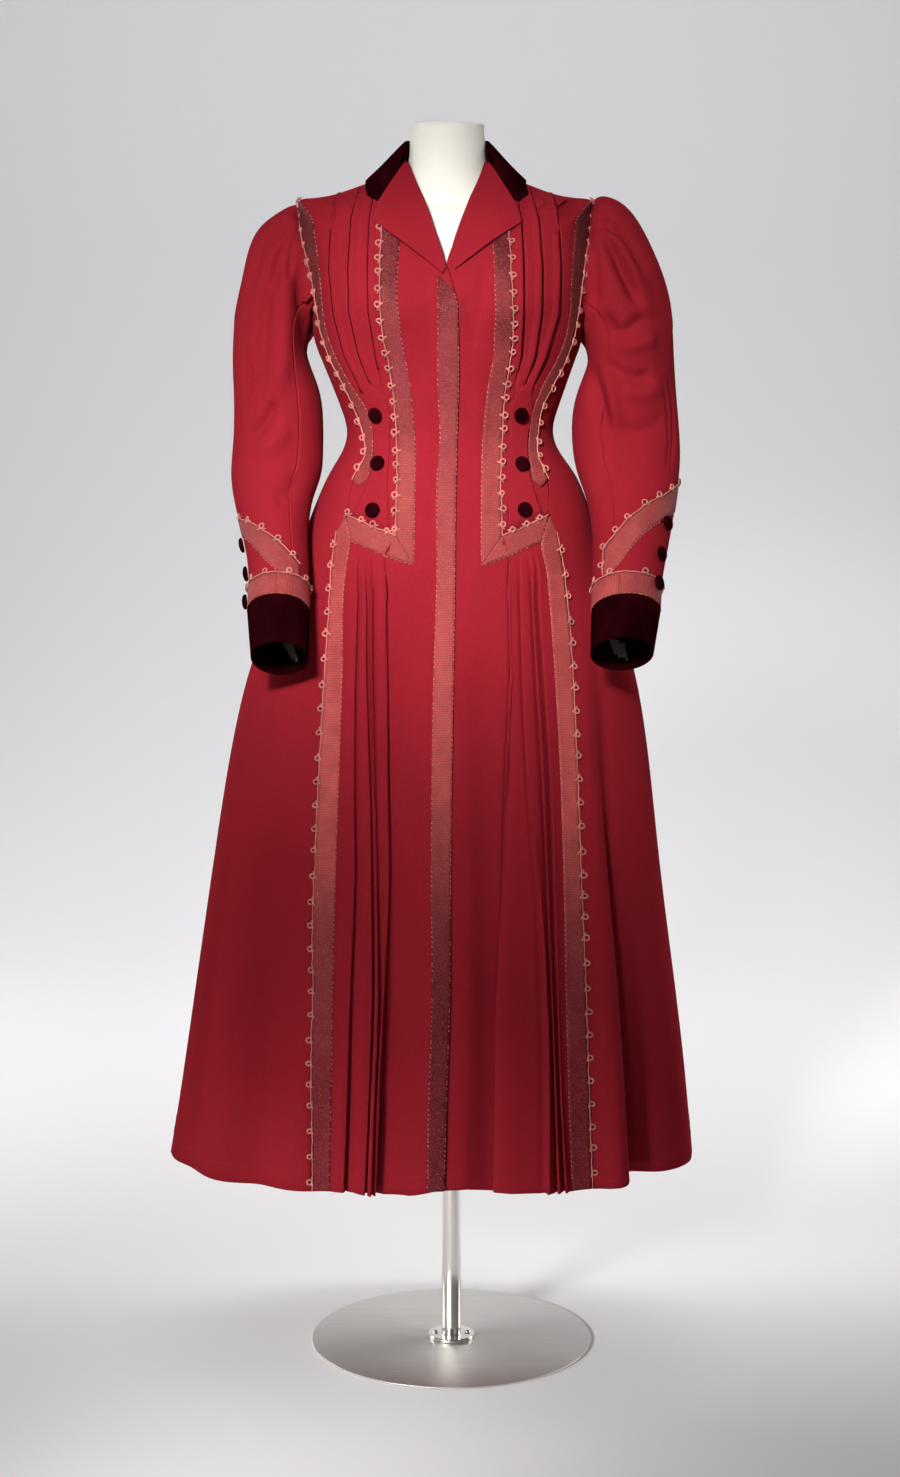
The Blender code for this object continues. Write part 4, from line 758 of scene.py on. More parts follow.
def tube(path, normals, radius, sides=6):
    """Points and faces of a thread along a path."""
    path = np.array(path)
    ahead = unit(np.gradient(path, axis=0))
    side = unit(np.cross(ahead, normals))
    up = unit(np.cross(side, ahead))
    corners, faces = [], []
    for i, place in enumerate(path):
        for k in range(sides):
            turn = 2 * math.pi * k / sides
            corners.append(place + (side[i] * math.cos(turn) + up[i] * math.sin(turn)) * radius)
    for i in range(len(path) - 1):
        for k in range(sides):
            a, b = i * sides + k, i * sides + (k + 1) % sides
            faces.append((a, b, b + sides, a + sides))
    last = (len(path) - 1) * sides
    faces.append(tuple(range(sides))[::-1])
    faces.append(tuple(last + k for k in range(sides)))
    return corners, faces


def capsule(place, ahead, up, length, radius, sides=5):
    """One stitch: a short thread with its ends drawn into the cloth."""
    side = np.cross(ahead, up)
    corners, faces = [], []
    for along, size, rise in ((-0.5, 0.25, -0.8), (-0.3, 1.0, 0.0), (0.3, 1.0, 0.0), (0.5, 0.25, -0.8)):
        centre = place + ahead * length * along + up * radius * rise
        for k in range(sides):
            turn = 2 * math.pi * k / sides
            corners.append(centre + (side * math.cos(turn) + up * math.sin(turn)) * radius * size)
    for i in range(3):
        for k in range(sides):
            a, b = i * sides + k, i * sides + (k + 1) % sides
            faces.append((a, b, b + sides, a + sides))
    faces.append(tuple(range(sides))[::-1])
    faces.append(tuple(3 * sides + k for k in range(sides)))
    return corners, faces


def gather(parts):
    corners, faces = [], []
    for part_corners, part_faces in parts:
        start = len(corners)
        corners += list(part_corners)
        faces += [tuple(start + k for k in face) for face in part_faces]
    return corners, faces


def sew(name, parts, material):
    thing = add_piece(name, *gather(parts), material)
    shade(thing)
    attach(thing, "root")
    return thing


def looped_cord(path, normals, outward, rng, spacing, sides=6):
    """A couched cord that turns a small ring outwards every so often along a ribbon's edge."""
    looks = settings()
    radius, ring = looks.cord_radius, looks.loop_radius
    lengths = np.concatenate(([0], np.cumsum(np.linalg.norm(np.diff(path, axis=0), axis=1))))
    parts = []
    wave = np.array([0.35 * math.sin(s / 0.0061) + 0.25 * math.sin(s / 0.0023 + 1) for s in lengths]) * MM
    cord = path + outward * (wave[:, None] + radius * 0.4) + normals * radius
    parts.append(tube(cord, normals, radius * 0.62, sides))
    at = spacing * rng.uniform(0.3, 0.7)
    while at < lengths[-1] - spacing * 0.2:
        k = int(np.searchsorted(lengths, at))
        k = min(max(k, 1), len(path) - 2)
        out, up = outward[k], normals[k]
        ahead = unit(np.cross(up, out))
        size = ring * rng.uniform(0.88, 1.12)
        squash = rng.uniform(0.82, 1.05)
        lean = rng.uniform(-0.35, 0.35)
        centre = path[k] + out * (size + radius * 0.5) + up * radius * 1.1
        line = [path[k] - ahead * size * 1.7 + up * radius * 0.6]
        for step in range(17):
            turn = math.radians(185 - 370 * step / 16) + lean
            rise = radius * 1.5 * (step / 16 - 0.3)
            line.append(centre + out * math.cos(turn) * size + ahead * math.sin(turn) * size * squash + up * rise)
        line.append(path[k] + ahead * size * 1.7 + up * radius * 0.9)
        parts.append(tube(line, np.tile(up, (len(line), 1)), radius * rng.uniform(0.85, 1.0), sides))
        at += spacing * rng.uniform(0.88, 1.12)
    return parts


def running_stitches(path, normals, rng, spacing, length, radius, slant=0.0, skip=0.0):
    lengths = np.concatenate(([0], np.cumsum(np.linalg.norm(np.diff(path, axis=0), axis=1))))
    parts = []
    at = spacing
    while at < lengths[-1] - spacing:
        k = min(max(int(np.searchsorted(lengths, at)), 1), len(path) - 2)
        if rng.random() >= skip:
            ahead = unit(path[k + 1] - path[k - 1])
            across = np.cross(normals[k], ahead)
            lean = slant + rng.uniform(-0.2, 0.2)
            way = unit(ahead * math.cos(lean) + across * math.sin(lean))
            here = path[k] + normals[k] * radius * 0.5
            parts.append(capsule(here, way, normals[k], length * rng.uniform(0.85, 1.15), radius))
        at += spacing * rng.uniform(0.9, 1.1)
    return parts


def finish(name):
    """The material of this name, made on first use."""
    made = f"{name}_finish"
    if made not in bpy.data.materials:
        FINISHES[name](made)
    return bpy.data.materials[made]


class Tree:
    """A short way to write node trees."""

    def __init__(self, tree):
        self.tree = tree

    def add(self, kind, inputs=None, **values):
        node = self.tree.nodes.new(kind)
        for key, value in values.items():
            setattr(node, key, value)
        for key, value in (inputs or {}).items():
            self.put(node, key, value)
        return node

    def put(self, node, key, value):
        socket = node.inputs[key]
        if hasattr(value, "is_output"):
            self.tree.links.new(value, socket)
        else:
            socket.default_value = value

    def noise(self, vector, scale, detail=2.0, rough=0.5, stretch=(1, 1, 1)):
        mapped = self.add("ShaderNodeMapping", {"Vector": vector, "Scale": stretch})
        found = self.add("ShaderNodeTexNoise", {"Vector": mapped.outputs[0], "Scale": scale, "Detail": detail,
                                               "Roughness": rough})
        return found.outputs["Fac"]

    def maths(self, operation, a, b=0.0, clamp=False):
        node = self.add("ShaderNodeMath", operation=operation, use_clamp=clamp)
        self.put(node, 0, a)
        self.put(node, 1, b)
        return node.outputs[0]

    def span(self, value, low, high, to_low=0.0, to_high=1.0):
        node = self.add("ShaderNodeMapRange", {"Value": value, "From Min": low, "From Max": high,
                                               "To Min": to_low, "To Max": to_high})
        return node.outputs[0]

    def mix(self, factor, a, b):
        node = self.add("ShaderNodeMix", data_type="RGBA")
        self.put(node, 0, factor)
        self.put(node, 6, a)
        self.put(node, 7, b)
        return node.outputs[2]


def new_group(name, inputs, outputs):
    group = bpy.data.node_groups.new(name, "ShaderNodeTree")
    for label, kind, value in inputs:
        socket = group.interface.new_socket(label, in_out="INPUT", socket_type=kind)
        if value is not None:
            socket.default_value = value
    for label, kind in outputs:
        group.interface.new_socket(label, in_out="OUTPUT", socket_type=kind)
    tree = Tree(group)
    return group, tree, tree.add("NodeGroupInput"), tree.add("NodeGroupOutput")


def nap_group():
    """Fulled wool: short fibres laid mostly downwards, with soft cloudy wear."""
    if "wool nap" in bpy.data.node_groups:
        return bpy.data.node_groups["wool nap"]
    group, tree, given, out = new_group(
        "wool nap",
        [("Fibre Scale", "NodeSocketFloat", 900.0), ("Cloud Scale", "NodeSocketFloat", 7.0)],
        [("Height", "NodeSocketFloat"), ("Fibre", "NodeSocketFloat"), ("Cloud", "NodeSocketFloat")],
    )
    where = tree.add("ShaderNodeTexCoord").outputs["Object"]
    fibre = tree.noise(where, given.outputs["Fibre Scale"], 3.0, 0.6, (1, 1, 0.35))
    coarse = tree.noise(where, 260.0, 2.0, 0.5, (1, 1, 0.5))
    cloud = tree.noise(where, given.outputs["Cloud Scale"], 3.0, 0.55, (1, 1, 0.5))
    height = tree.maths("ADD", tree.maths("MULTIPLY", fibre, 0.6), tree.maths("MULTIPLY", coarse, 0.4))
    tree.put(out, "Height", height)
    tree.put(out, "Fibre", tree.span(fibre, 0.3, 0.7))
    tree.put(out, "Cloud", tree.span(cloud, 0.35, 0.65))
    return group


def rib_group():
    """Ribs across a ribbon, read from the ribbon's own measure, with uneven weaving."""
    if "crosswise ribs" in bpy.data.node_groups:
        return bpy.data.node_groups["crosswise ribs"]
    group, tree, given, out = new_group(
        "crosswise ribs",
        [("Rib Pitch", "NodeSocketFloat", 0.0016)],
        [("Height", "NodeSocketFloat"), ("Rib", "NodeSocketFloat"), ("Along", "NodeSocketFloat"),
         ("Across", "NodeSocketFloat")],
    )
    grain = tree.add("ShaderNodeAttribute", attribute_name="grain").outputs["Vector"]
    parts = tree.add("ShaderNodeSeparateXYZ", {"Vector": grain})
    where = tree.add("ShaderNodeTexCoord").outputs["Object"]
    wobble = tree.span(tree.noise(where, 160.0, 2.0), 0.0, 1.0, -0.0006, 0.0006)
    along = tree.maths("ADD", parts.outputs[0], wobble)
    turns = tree.maths("DIVIDE", along, given.outputs["Rib Pitch"])
    wave = tree.maths("SINE", tree.maths("MULTIPLY", turns, 2 * math.pi))
    rib = tree.span(wave, -1.0, 1.0)
    tree.put(out, "Height", rib)
    tree.put(out, "Rib", rib)
    tree.put(out, "Along", parts.outputs[0])
    tree.put(out, "Across", parts.outputs[1])
    return group


def material(name, roughness, metallic=0.0, **sockets):
    """A Principled material. The sockets are set on the shader itself."""
    made = bpy.data.materials.new(name)
    made.use_nodes = True
    tree = Tree(made.node_tree)
    shader = made.node_tree.nodes["Principled BSDF"]
    shader.inputs["Roughness"].default_value = roughness
    shader.inputs["Metallic"].default_value = metallic
    for key, value in sockets.items():
        shader.inputs[key.replace("_", " ").title().replace("Ior", "IOR")].default_value = value
    return tree, shader


def bump(tree, shader, height, distance, strength):
    node = tree.add("ShaderNodeBump", {"Height": height, "Distance": distance, "Strength": strength})
    tree.put(shader, "Normal", node.outputs[0])


def colour(name):
    return (*getattr(settings(), name), 1.0)


def shaded(value, share):
    return (*[part * share for part in value[:3]], 1.0)


def broadcloth(name):
    tree, shader = material(name, 0.88, sheen_weight=0.05, sheen_roughness=0.35,
                            sheen_tint=(0.9, 0.20, 0.22, 1.0), specular_ior_level=0.0)
    nap = tree.add("ShaderNodeGroup", node_tree=nap_group())
    red = colour("broadcloth_colour")
    worn = tree.mix(nap.outputs["Cloud"], shaded(red, 0.86), shaded(red, 1.12))
    flecked = tree.mix(nap.outputs["Fibre"], shaded(red, 0.72), shaded(red, 1.2))
    tree.put(shader, "Base Color", tree.mix(0.45, worn, flecked))
    tree.put(shader, "Roughness", tree.span(nap.outputs["Cloud"], 0.0, 1.0, 0.82, 0.93))
    bump(tree, shader, nap.outputs["Height"], 0.0005, 0.35)


def ribbon(name):
    """Changing silk ribbon: burgundy at the shoulders, rose at the chest, salmon at the waist, burgundy below."""
    tree, shader = material(name, 0.5, sheen_weight=0.02, sheen_roughness=0.4, specular_ior_level=0.06)
    ribs = tree.add("ShaderNodeGroup", {"Rib Pitch": 0.0021}, node_tree=rib_group())
    where = tree.add("ShaderNodeTexCoord").outputs["Object"]
    height = tree.add("ShaderNodeSeparateXYZ", {"Vector": where}).outputs[2]
    blotch = tree.noise(where, 16.0, 3.0, 0.6, (1, 1, 0.7))
    shifted = tree.maths("ADD", height, tree.span(blotch, 0.3, 0.7, -0.075, 0.075))
    ramp = tree.add("ShaderNodeValToRGB")
    tree.put(ramp, 0, tree.span(shifted, RIBBON_TONES[0][0], RIBBON_TONES[-1][0]))
    band = ramp.color_ramp
    reach = RIBBON_TONES[-1][0] - RIBBON_TONES[0][0]
    for k, (level, tone, share) in enumerate(RIBBON_TONES):
        at = (level - RIBBON_TONES[0][0]) / reach
        element = band.elements[0 if k == 0 else -1] if at in (0.0, 1.0) else band.elements.new(at)
        element.color = shaded(colour(tone), share)
    across = tree.maths("ABSOLUTE", tree.add("ShaderNodeSeparateXYZ", {"Vector": where}).outputs[0])
    centre = tree.maths("MULTIPLY", tree.span(across, 0.045, 0.06, 1.0, 0.0), tree.span(shifted, 0.95, 0.45))
    speck = tree.span(tree.noise(where, 700.0, 2.0), 0.3, 0.7, 0.0, 1.0)
    tone = tree.mix(tree.maths("MULTIPLY", centre, 0.62), ramp.outputs[0], (0.04, 0.004, 0.006, 1))
    # painted shade: the hollows between the ribs are darkened up to halfway towards near-black
    dark = tree.mix(tree.span(ribs.outputs["Rib"], 0.0, 1.0, 0.5, 0.0), tone, (0.07, 0.007, 0.010, 1))
    fleck = tree.mix(tree.span(speck, 0.5, 1.0, 0.0, 0.35), dark, shaded(colour("ribbon_salmon"), 1.3))
    worn = tree.span(tree.noise(where, 45.0, 3.0, 0.6), 0.35, 0.7, 0.0, 0.4)
    tree.put(shader, "Base Color", tree.mix(worn, fleck, shaded(colour("ribbon_burgundy"), 0.9)))
    tree.put(shader, "Roughness", tree.span(blotch, 0.3, 0.7, 0.42, 0.62))
    bump(tree, shader, ribs.outputs["Height"], 0.0005, 0.5)


def velvet(name):
    tree, shader = material(name, 0.95, sheen_weight=0.035, sheen_roughness=0.2,
                            sheen_tint=(0.8, 0.03, 0.06, 1.0), specular_ior_level=0.0)
    nap = tree.add("ShaderNodeGroup", {"Fibre Scale": 1500.0, "Cloud Scale": 28.0}, node_tree=nap_group())
    dark = colour("velvet_colour")
    tree.put(shader, "Base Color", tree.mix(nap.outputs["Cloud"], shaded(dark, 0.6), shaded(dark, 1.5)))
    tree.put(shader, "Roughness", tree.span(nap.outputs["Cloud"], 0.0, 1.0, 0.85, 1.0))
    bump(tree, shader, nap.outputs["Height"], 0.0006, 0.5)


def woven_cover(name, value, scale, roughness=0.85):
    """Plain woven cloth: fine threads both ways."""
    tree, shader = material(name, roughness, sheen_weight=0.1, specular_ior_level=0.25)
    where = tree.add("ShaderNodeTexCoord").outputs["Object"]
    warp = tree.noise(where, scale, 2.0, 0.5, (1, 1, 0.06))
    weft = tree.noise(where, scale, 2.0, 0.5, (0.06, 0.06, 1))
    weave = tree.maths("MULTIPLY", tree.maths("ADD", warp, weft), 0.5)
    cloud = tree.span(tree.noise(where, 6.0, 2.0), 0.3, 0.7)
    tone = tree.mix(cloud, shaded(value, 0.95), shaded(value, 1.03))
    tree.put(shader, "Base Color", tree.mix(tree.span(weave, 0.35, 0.65, 0.0, 0.2), tone, shaded(value, 0.82)))
    bump(tree, shader, weave, 0.0003, 0.3)


def form_cover(name):
    woven_cover(name, colour("form_colour"), 900.0)


def lining(name):
    woven_cover(name, colour("lining_colour"), 1200.0, 0.7)


def cord_thread(name):
    tree, shader = material(name, 0.6, sheen_weight=0.15, specular_ior_level=0.35)
    where = tree.add("ShaderNodeTexCoord").outputs["Object"]
    twist = tree.noise(where, 1400.0, 2.0, 0.6, (1, 1, 2))
    fade = tree.span(tree.noise(where, 30.0, 2.0), 0.35, 0.65)
    pale = colour("cord_colour")
    tone = tree.mix(fade, shaded(pale, 0.72), shaded(pale, 1.12))
    tree.put(shader, "Base Color", tree.mix(tree.span(twist, 0.35, 0.65, 0.0, 0.35), tone, shaded(pale, 0.45)))
    bump(tree, shader, twist, 0.0004, 0.6)


def red_thread(name):
    tree, shader = material(name, 0.7, specular_ior_level=0.3)
    where = tree.add("ShaderNodeTexCoord").outputs["Object"]
    twist = tree.noise(where, 1600.0, 2.0)
    red = shaded(colour("broadcloth_colour"), 0.62)
    tree.put(shader, "Base Color", tree.mix(tree.span(twist, 0.35, 0.65), red, shaded(red, 1.5)))
    bump(tree, shader, twist, 0.0003, 0.5)


# painted shadow: this near-black thread, a tenth of the broadcloth's colour, lies in each tuck's groove and stands in
# for the shadow line there as well as for the tuck's stitching
def dark_thread(name):
    tree, shader = material(name, 0.8, specular_ior_level=0.05)
    where = tree.add("ShaderNodeTexCoord").outputs["Object"]
    twist = tree.noise(where, 1600.0, 2.0)
    red = shaded(colour("broadcloth_colour"), 0.10)
    tree.put(shader, "Base Color", tree.mix(tree.span(twist, 0.35, 0.65), red, shaded(red, 2.0)))
    bump(tree, shader, twist, 0.0003, 0.5)


def brushed_steel(name):
    tree, shader = material(name, 0.34, 1.0, anisotropic=0.6)
    where = tree.add("ShaderNodeTexCoord").outputs["Object"]
    lines = tree.noise(where, 900.0, 3.0, 0.6, (0.012, 1, 1))
    cloud = tree.span(tree.noise(where, 9.0, 2.0, 0.5, (0.3, 1, 1)), 0.35, 0.65)
    steel = colour("steel_colour")
    tone = tree.mix(tree.span(lines, 0.3, 0.7), shaded(steel, 0.80), shaded(steel, 1.1))
    tree.put(shader, "Base Color", tree.mix(tree.maths("MULTIPLY", cloud, 0.3), tone, shaded(steel, 0.85)))
    tree.put(shader, "Roughness", tree.span(lines, 0.3, 0.7, 0.28, 0.46))
    bump(tree, shader, lines, 0.0002, 0.25)


def polished_steel(name):
    tree, shader = material(name, 0.14, 1.0)
    where = tree.add("ShaderNodeTexCoord").outputs["Object"]
    drawn = tree.noise(where, 700.0, 2.0, 0.5, (1, 1, 0.01))
    steel = colour("steel_colour")
    tree.put(shader, "Base Color", tree.mix(tree.span(drawn, 0.3, 0.7), shaded(steel, 1.05), shaded(steel, 1.25)))
    tree.put(shader, "Roughness", tree.span(drawn, 0.3, 0.7, 0.10, 0.2))
    bump(tree, shader, drawn, 0.0001, 0.12)


def studio_paper(name):
    tree, shader = material(name, 0.9, specular_ior_level=0.1)
    where = tree.add("ShaderNodeTexCoord").outputs["Object"]
    height = tree.add("ShaderNodeSeparateXYZ", {"Vector": where}).outputs[2]
    # painted shade: the paper's colour darkens from the floor's to a grey towards the top, standing in for the light
    # falling off up the backdrop
    fade = tree.span(height, 0.1, 3.2)
    tree.put(shader, "Base Color", tree.mix(fade, colour("floor_colour"), colour("shaded_backdrop_top")))
    behind = tree.add("ShaderNodeNewGeometry").outputs["Backfacing"]
    clear = tree.add("ShaderNodeBsdfTransparent").outputs[0]
    seen = tree.add("ShaderNodeMixShader", {0: behind, 1: shader.outputs[0], 2: clear}).outputs[0]
    tree.put(next(node for node in tree.tree.nodes if node.type == "OUTPUT_MATERIAL"), "Surface", seen)


FINISHES = {
    "broadcloth": broadcloth, "ribbon": ribbon, "velvet": velvet, "form_cover": form_cover, "lining": lining,
    "cord_thread": cord_thread, "red_thread": red_thread, "dark_thread": dark_thread, "brushed_steel": brushed_steel,
    "polished_steel": polished_steel, "studio_paper": studio_paper,
}


def cloth_piece(node, outward, levels, material_name="broadcloth", thickness=None, shape=None):
    """A finer copy of a packed cloth wall's shown side, with its folds pressed in and its thickness given back."""
    points, faces = outer_sheet(node, outward)
    thing = add_piece(f"{node}_cloth", points, faces, material_name)
    finer(thing, levels)
    if shape:
        shape(thing)
    rows = CREASES.get(node.replace("under", "upper"))
    if rows:
        crease(thing, rows)
    declare_cloth(thing, node)
    if node.startswith("yoke"):
        folded_tucks(thing, node[-1])
    thicken(thing, settings().cloth_thickness if thickness is None else thickness)
    return thing


class COAT_OT_body(bpy.types.Operator):
    """Makes the fronts, yokes, pleated inserts, sides and back"""

    bl_idname = "coat.body"
    bl_label = "Body panels"

    def execute(self, context):
        for side in SIDES:
            for part, levels, held in (("front", 3, "draped"), ("yoke", 3, "draped"), ("pleat_panel", 3, "folded"),
                                       ("side_front", 3, "draped"), ("side_back", 3, "draped"), ("back", 3, "draped")):

                def shape(thing, part=part, side=side):
                    if part == "yoke":
                        press_tucks(thing, side)
                        return
                    skirt_folds(thing)
                    if part == "pleat_panel":
                        press_pleats(thing, side)
                    hem_line(thing)

                cloth_piece(f"{part}_{side}", from_body, levels, shape=shape)
        return {"FINISHED"}


class COAT_OT_sleeves(bpy.types.Operator):
    """Makes the gathered upper sleeves and the under sleeves"""

    bl_idname = "coat.sleeves"
    bl_label = "Sleeves"

    def execute(self, context):
        for side in SIDES:
            outward = from_sleeve(side)
            cloth_piece(f"sleeve_upper_{side}", outward, 3)
            cloth_piece(f"sleeve_under_{side}", outward, 2)
        return {"FINISHED"}


class COAT_OT_collar(bpy.types.Operator):
    """Makes the velvet collar and the turned-back lapels"""

    bl_idname = "coat.collar"
    bl_label = "Collar and lapels"

    def execute(self, context):
        looks = settings()
        points, faces = outer_sheet("collar", from_collar_line)
        thing = add_piece("collar_cloth", points, faces, "velvet")
        finer(thing, 3)
        cloth = Cloth([f"{part}_{side}_cloth" for part in ("front", "yoke", "back") for side in SIDES])
        self.add_ends(thing, cloth)
        area = surface_area(thing)
        declare_cloth(thing, "collar",
                      flat=(looks.collar_depth, area / looks.collar_depth / 0.9))
        thicken(thing, looks.velvet_thickness)
        for side in SIDES:
            cloth_piece(f"lapel_{side}", forwards, 3)
        return {"FINISHED"}

    def add_ends(self, thing, cloth):
        """Carries the fall's front ends down onto the shoulders."""
        work = bmesh.new()
        work.from_mesh(thing.data)
        for side, (start, end) in COLLAR_ENDS.items():
            first = even(np.array(start) * MM, count=9)
            last, _ = cloth.laid(even(np.array(end) * MM, count=9), 0.003)
            rows = []
            for t in np.linspace(0, 1, 9):
                row = first + (last - first) * t
                placed, _ = cloth.laid(row, 0.003)
                row = row + (placed - row) * float(smooth(t / 0.7))
                rows.append([work.verts.new(Vector(place)) for place in row])
            for a, b in zip(rows, rows[1:]):
                for m in range(8):
                    corners = (a[m], b[m], b[m + 1], a[m + 1])
                    face = work.faces.new(corners if side == "r" else corners[::-1])
                    face.smooth = True
        work.to_mesh(thing.data)
        work.free()


class COAT_OT_cuffs(bpy.types.Operator):
    """Makes the velvet cuffs and the pale lining inside them"""

    bl_idname = "coat.cuffs"
    bl_label = "Cuffs"

    def execute(self, context):
        looks = settings()
        for side in SIDES:
            outward = from_sleeve(side)
            for node, name, depth in ((f"cuff_{side}", "velvet", looks.velvet_thickness),
                                      (f"cuff_lining_{side}", "lining", looks.lining_thickness)):
                points, faces = outer_sheet(node, outward)
                thing = add_piece(f"{node}_cloth", points, faces, name)
                finer(thing, 3)
                area = surface_area(thing)
                around = np.mean([np.linalg.norm(loop - np.roll(loop, 1, axis=0), axis=1).sum()
                                  for loop in border_loops(points, faces)])
                declare_cloth(thing, node,
                              flat=(around * 1.01, area / around * 1.01))
                thicken(thing, depth)
                if name == "lining":
                    self.velvet_facing_and_shade(thing, side)
        return {"FINISHED"}

    def velvet_facing_and_shade(self, thing, side):
        """The cuff is faced inside with its own velvet, which also stands for painted shade inside the sleeve, but for
        a patch where the lit lining shows.
        """
        thing.data.materials.append(finish("velvet"))
        patch = LINING_PATCH[side]
        for face in thing.data.polygons:
            x, _, z = face.center / MM
            turns = [(bx - ax) * (z - az) - (bz - az) * (x - ax)
                     for (ax, az), (bx, bz) in zip(patch, patch[1:] + patch[:1])]
            face.material_index = 0 if all(turn < 0 for turn in turns) else 1


def body_cloth():
    names = [f"{part}_{side}_cloth" for part in ("front", "yoke", "pleat_panel", "side_front") for side in SIDES]
    return Cloth(names)


def sleeve_cloth(side):
    return Cloth([f"sleeve_upper_{side}_cloth", f"sleeve_under_{side}_cloth"])


def ribbon_lines(node, outward):
    """A ribbon's runs as (edge away from the centre, edge towards it) lines."""
    points, faces = outer_sheet(node, outward)
    left, right = strip_edges(points, faces)
    runs = []
    for a, b in zip(stretches(left), stretches(right)):
        a, b = spline(a, 0.003), spline(b, 0.003)
        count = max(len(a), len(b))
        runs.append((even(a, count=count), even(b, count=count)))
    if abs(np.mean(np.abs(runs[0][0][:, 0]))) < abs(np.mean(np.abs(runs[0][1][:, 0]))):
        runs = [(b, a) for a, b in runs]
    return runs


def trimmed_edge(line, other, cloth, lift):
    """An edge line on the cloth, with its normals and the way outwards from the ribbon."""
    placed, normals = cloth.laid(line, lift)
    normals = smoothed_normals(normals, 4)
    across, _ = cloth.laid(other, lift)
    outward = placed - across
    outward -= normals * np.sum(outward * normals, axis=1, keepdims=True)
    return placed, normals, smoothed_normals(unit(outward), 4)


class COAT_OT_ribbons(bpy.types.Operator):
    """Lays the ribbons on the cloth, with looped cord on their outer edges and stitches on the others"""

    bl_idname = "coat.ribbons"
    bl_label = "Ribbons and cord"

    def execute(self, context):
        looks = settings()
        rng = random.Random(7)
        cloth = body_cloth()
        lift = looks.laid_gap + looks.ribbon_thickness
        nodes = ["centre_ribbon"]
        for part in ("front_ribbon", "skirt_ribbon", "armhole_ribbon"):
            nodes += [f"{part}_{side}" for side in SIDES]
        spacing = {"front_ribbon": looks.bodice_loops, "skirt_ribbon": looks.skirt_loops,
                   "armhole_ribbon": looks.bodice_loops}
        for node in nodes:
            runs = ribbon_lines(node, from_body)
            if node == "centre_ribbon":
                for line in runs[0]:
                    slant = CENTRE_TOP[0] if line[0, 0] < -0.008 else CENTRE_TOP[1]
                    line[:, 2] += slant * (1 - smooth((line[0, 2] - line[:, 2]) / 0.03))
            self.lay(node, runs, cloth, lift, spacing.get(node[:-2]), rng)
        for side in SIDES:
            sleeve = sleeve_cloth(side)
            away = from_sleeve(side)
            points, faces = outer_sheet(f"cuff_ribbon_{side}", away)
            loops = sorted(border_loops(points, faces), key=lambda loop: -loop[:, 2].mean())
            upper, lower = (self.round_line(loop) for loop in loops[:2])
            self.lay(f"cuff_ribbon_{side}", [(upper, lower)], sleeve, lift, looks.sleeve_loops, rng)
            points, faces = outer_sheet(f"forearm_ribbon_{side}", away)
            high, low = self.long_sides(border_loops(points, faces)[0])
            self.lay(f"forearm_ribbon_{side}", [(high, low)], sleeve, lift, looks.sleeve_loops, rng)
        return {"FINISHED"}

    def round_line(self, loop):
        """A closed loop that starts behind and runs one way round."""
        middle = loop.mean(axis=0)
        turn = np.arctan2(loop[:, 0] - middle[0], loop[:, 1] - middle[1])
        loop = loop[np.argsort(turn)]
        line = spline(loop, 0.003, closed=True)
        return even(np.vstack((line, line[:1])), count=90)

    def long_sides(self, loop):
        """The upper and the lower edge of a slanting strip."""
        turns = []
        for k in range(len(loop)):
            a, b = unit(loop[k] - loop[k - 1]), unit(loop[(k + 1) % len(loop)] - loop[k])
            turns.append(a @ b)
        corners = sorted(np.argsort(turns)[:4])
        loop = np.roll(loop, -corners[0], axis=0)
        corners = [k - corners[0] for k in corners] + [len(loop)]
        loop = np.vstack((loop, loop[:1]))
        edges = [loop[a : b + 1] for a, b in zip(corners, corners[1:])]
        edges.sort(key=lambda edge: -np.linalg.norm(np.diff(edge, axis=0), axis=1).sum())
        high, low = sorted(edges[:2], key=lambda edge: -edge[:, 2].mean())
        if (high[0] - high[-1]) @ (low[0] - low[-1]) < 0:
            low = low[::-1]
        high, low = spline(high, 0.003), spline(low, 0.003)
        return even(high, count=60), even(low, count=60)

    def lay(self, node, runs, cloth, lift, spacing, rng):
        looks = settings()
        point = looks.ribbon_point if node.startswith("armhole") else 0.0
        thing = ribbon_piece(f"{node}_cloth", runs, cloth, lift, point)
        length = sum(np.linalg.norm(np.diff((a + b) / 2, axis=0), axis=1).sum() for a, b in runs)
        area = surface_area(thing)
        declare_cloth(thing, node, flat=(area / length * 1.03, length))
        wall = thing.modifiers.new("thickness", "SOLIDIFY")
        wall.thickness = looks.ribbon_thickness
        wall.offset = -1
        sewing, cord = [], []
        for outer, inner in runs:
            for line, other, corded in ((outer, inner, spacing is not None), (inner, outer, False)):
                path, normals, outward = trimmed_edge(line, other, cloth, lift)
                if corded:
                    cord += looped_cord(path, normals, outward, rng, spacing)
                else:
                    path = path - outward * looks.stitch_inset
                    sewing += running_stitches(path, normals, rng, looks.stitch_spacing, looks.stitch_length,
                                               looks.thread_radius, 0.5, 0.25)
        sew(f"{node}_stitches", sewing, "cord_thread")
        if cord:
            sew(f"{node}_cord", cord, "cord_thread")


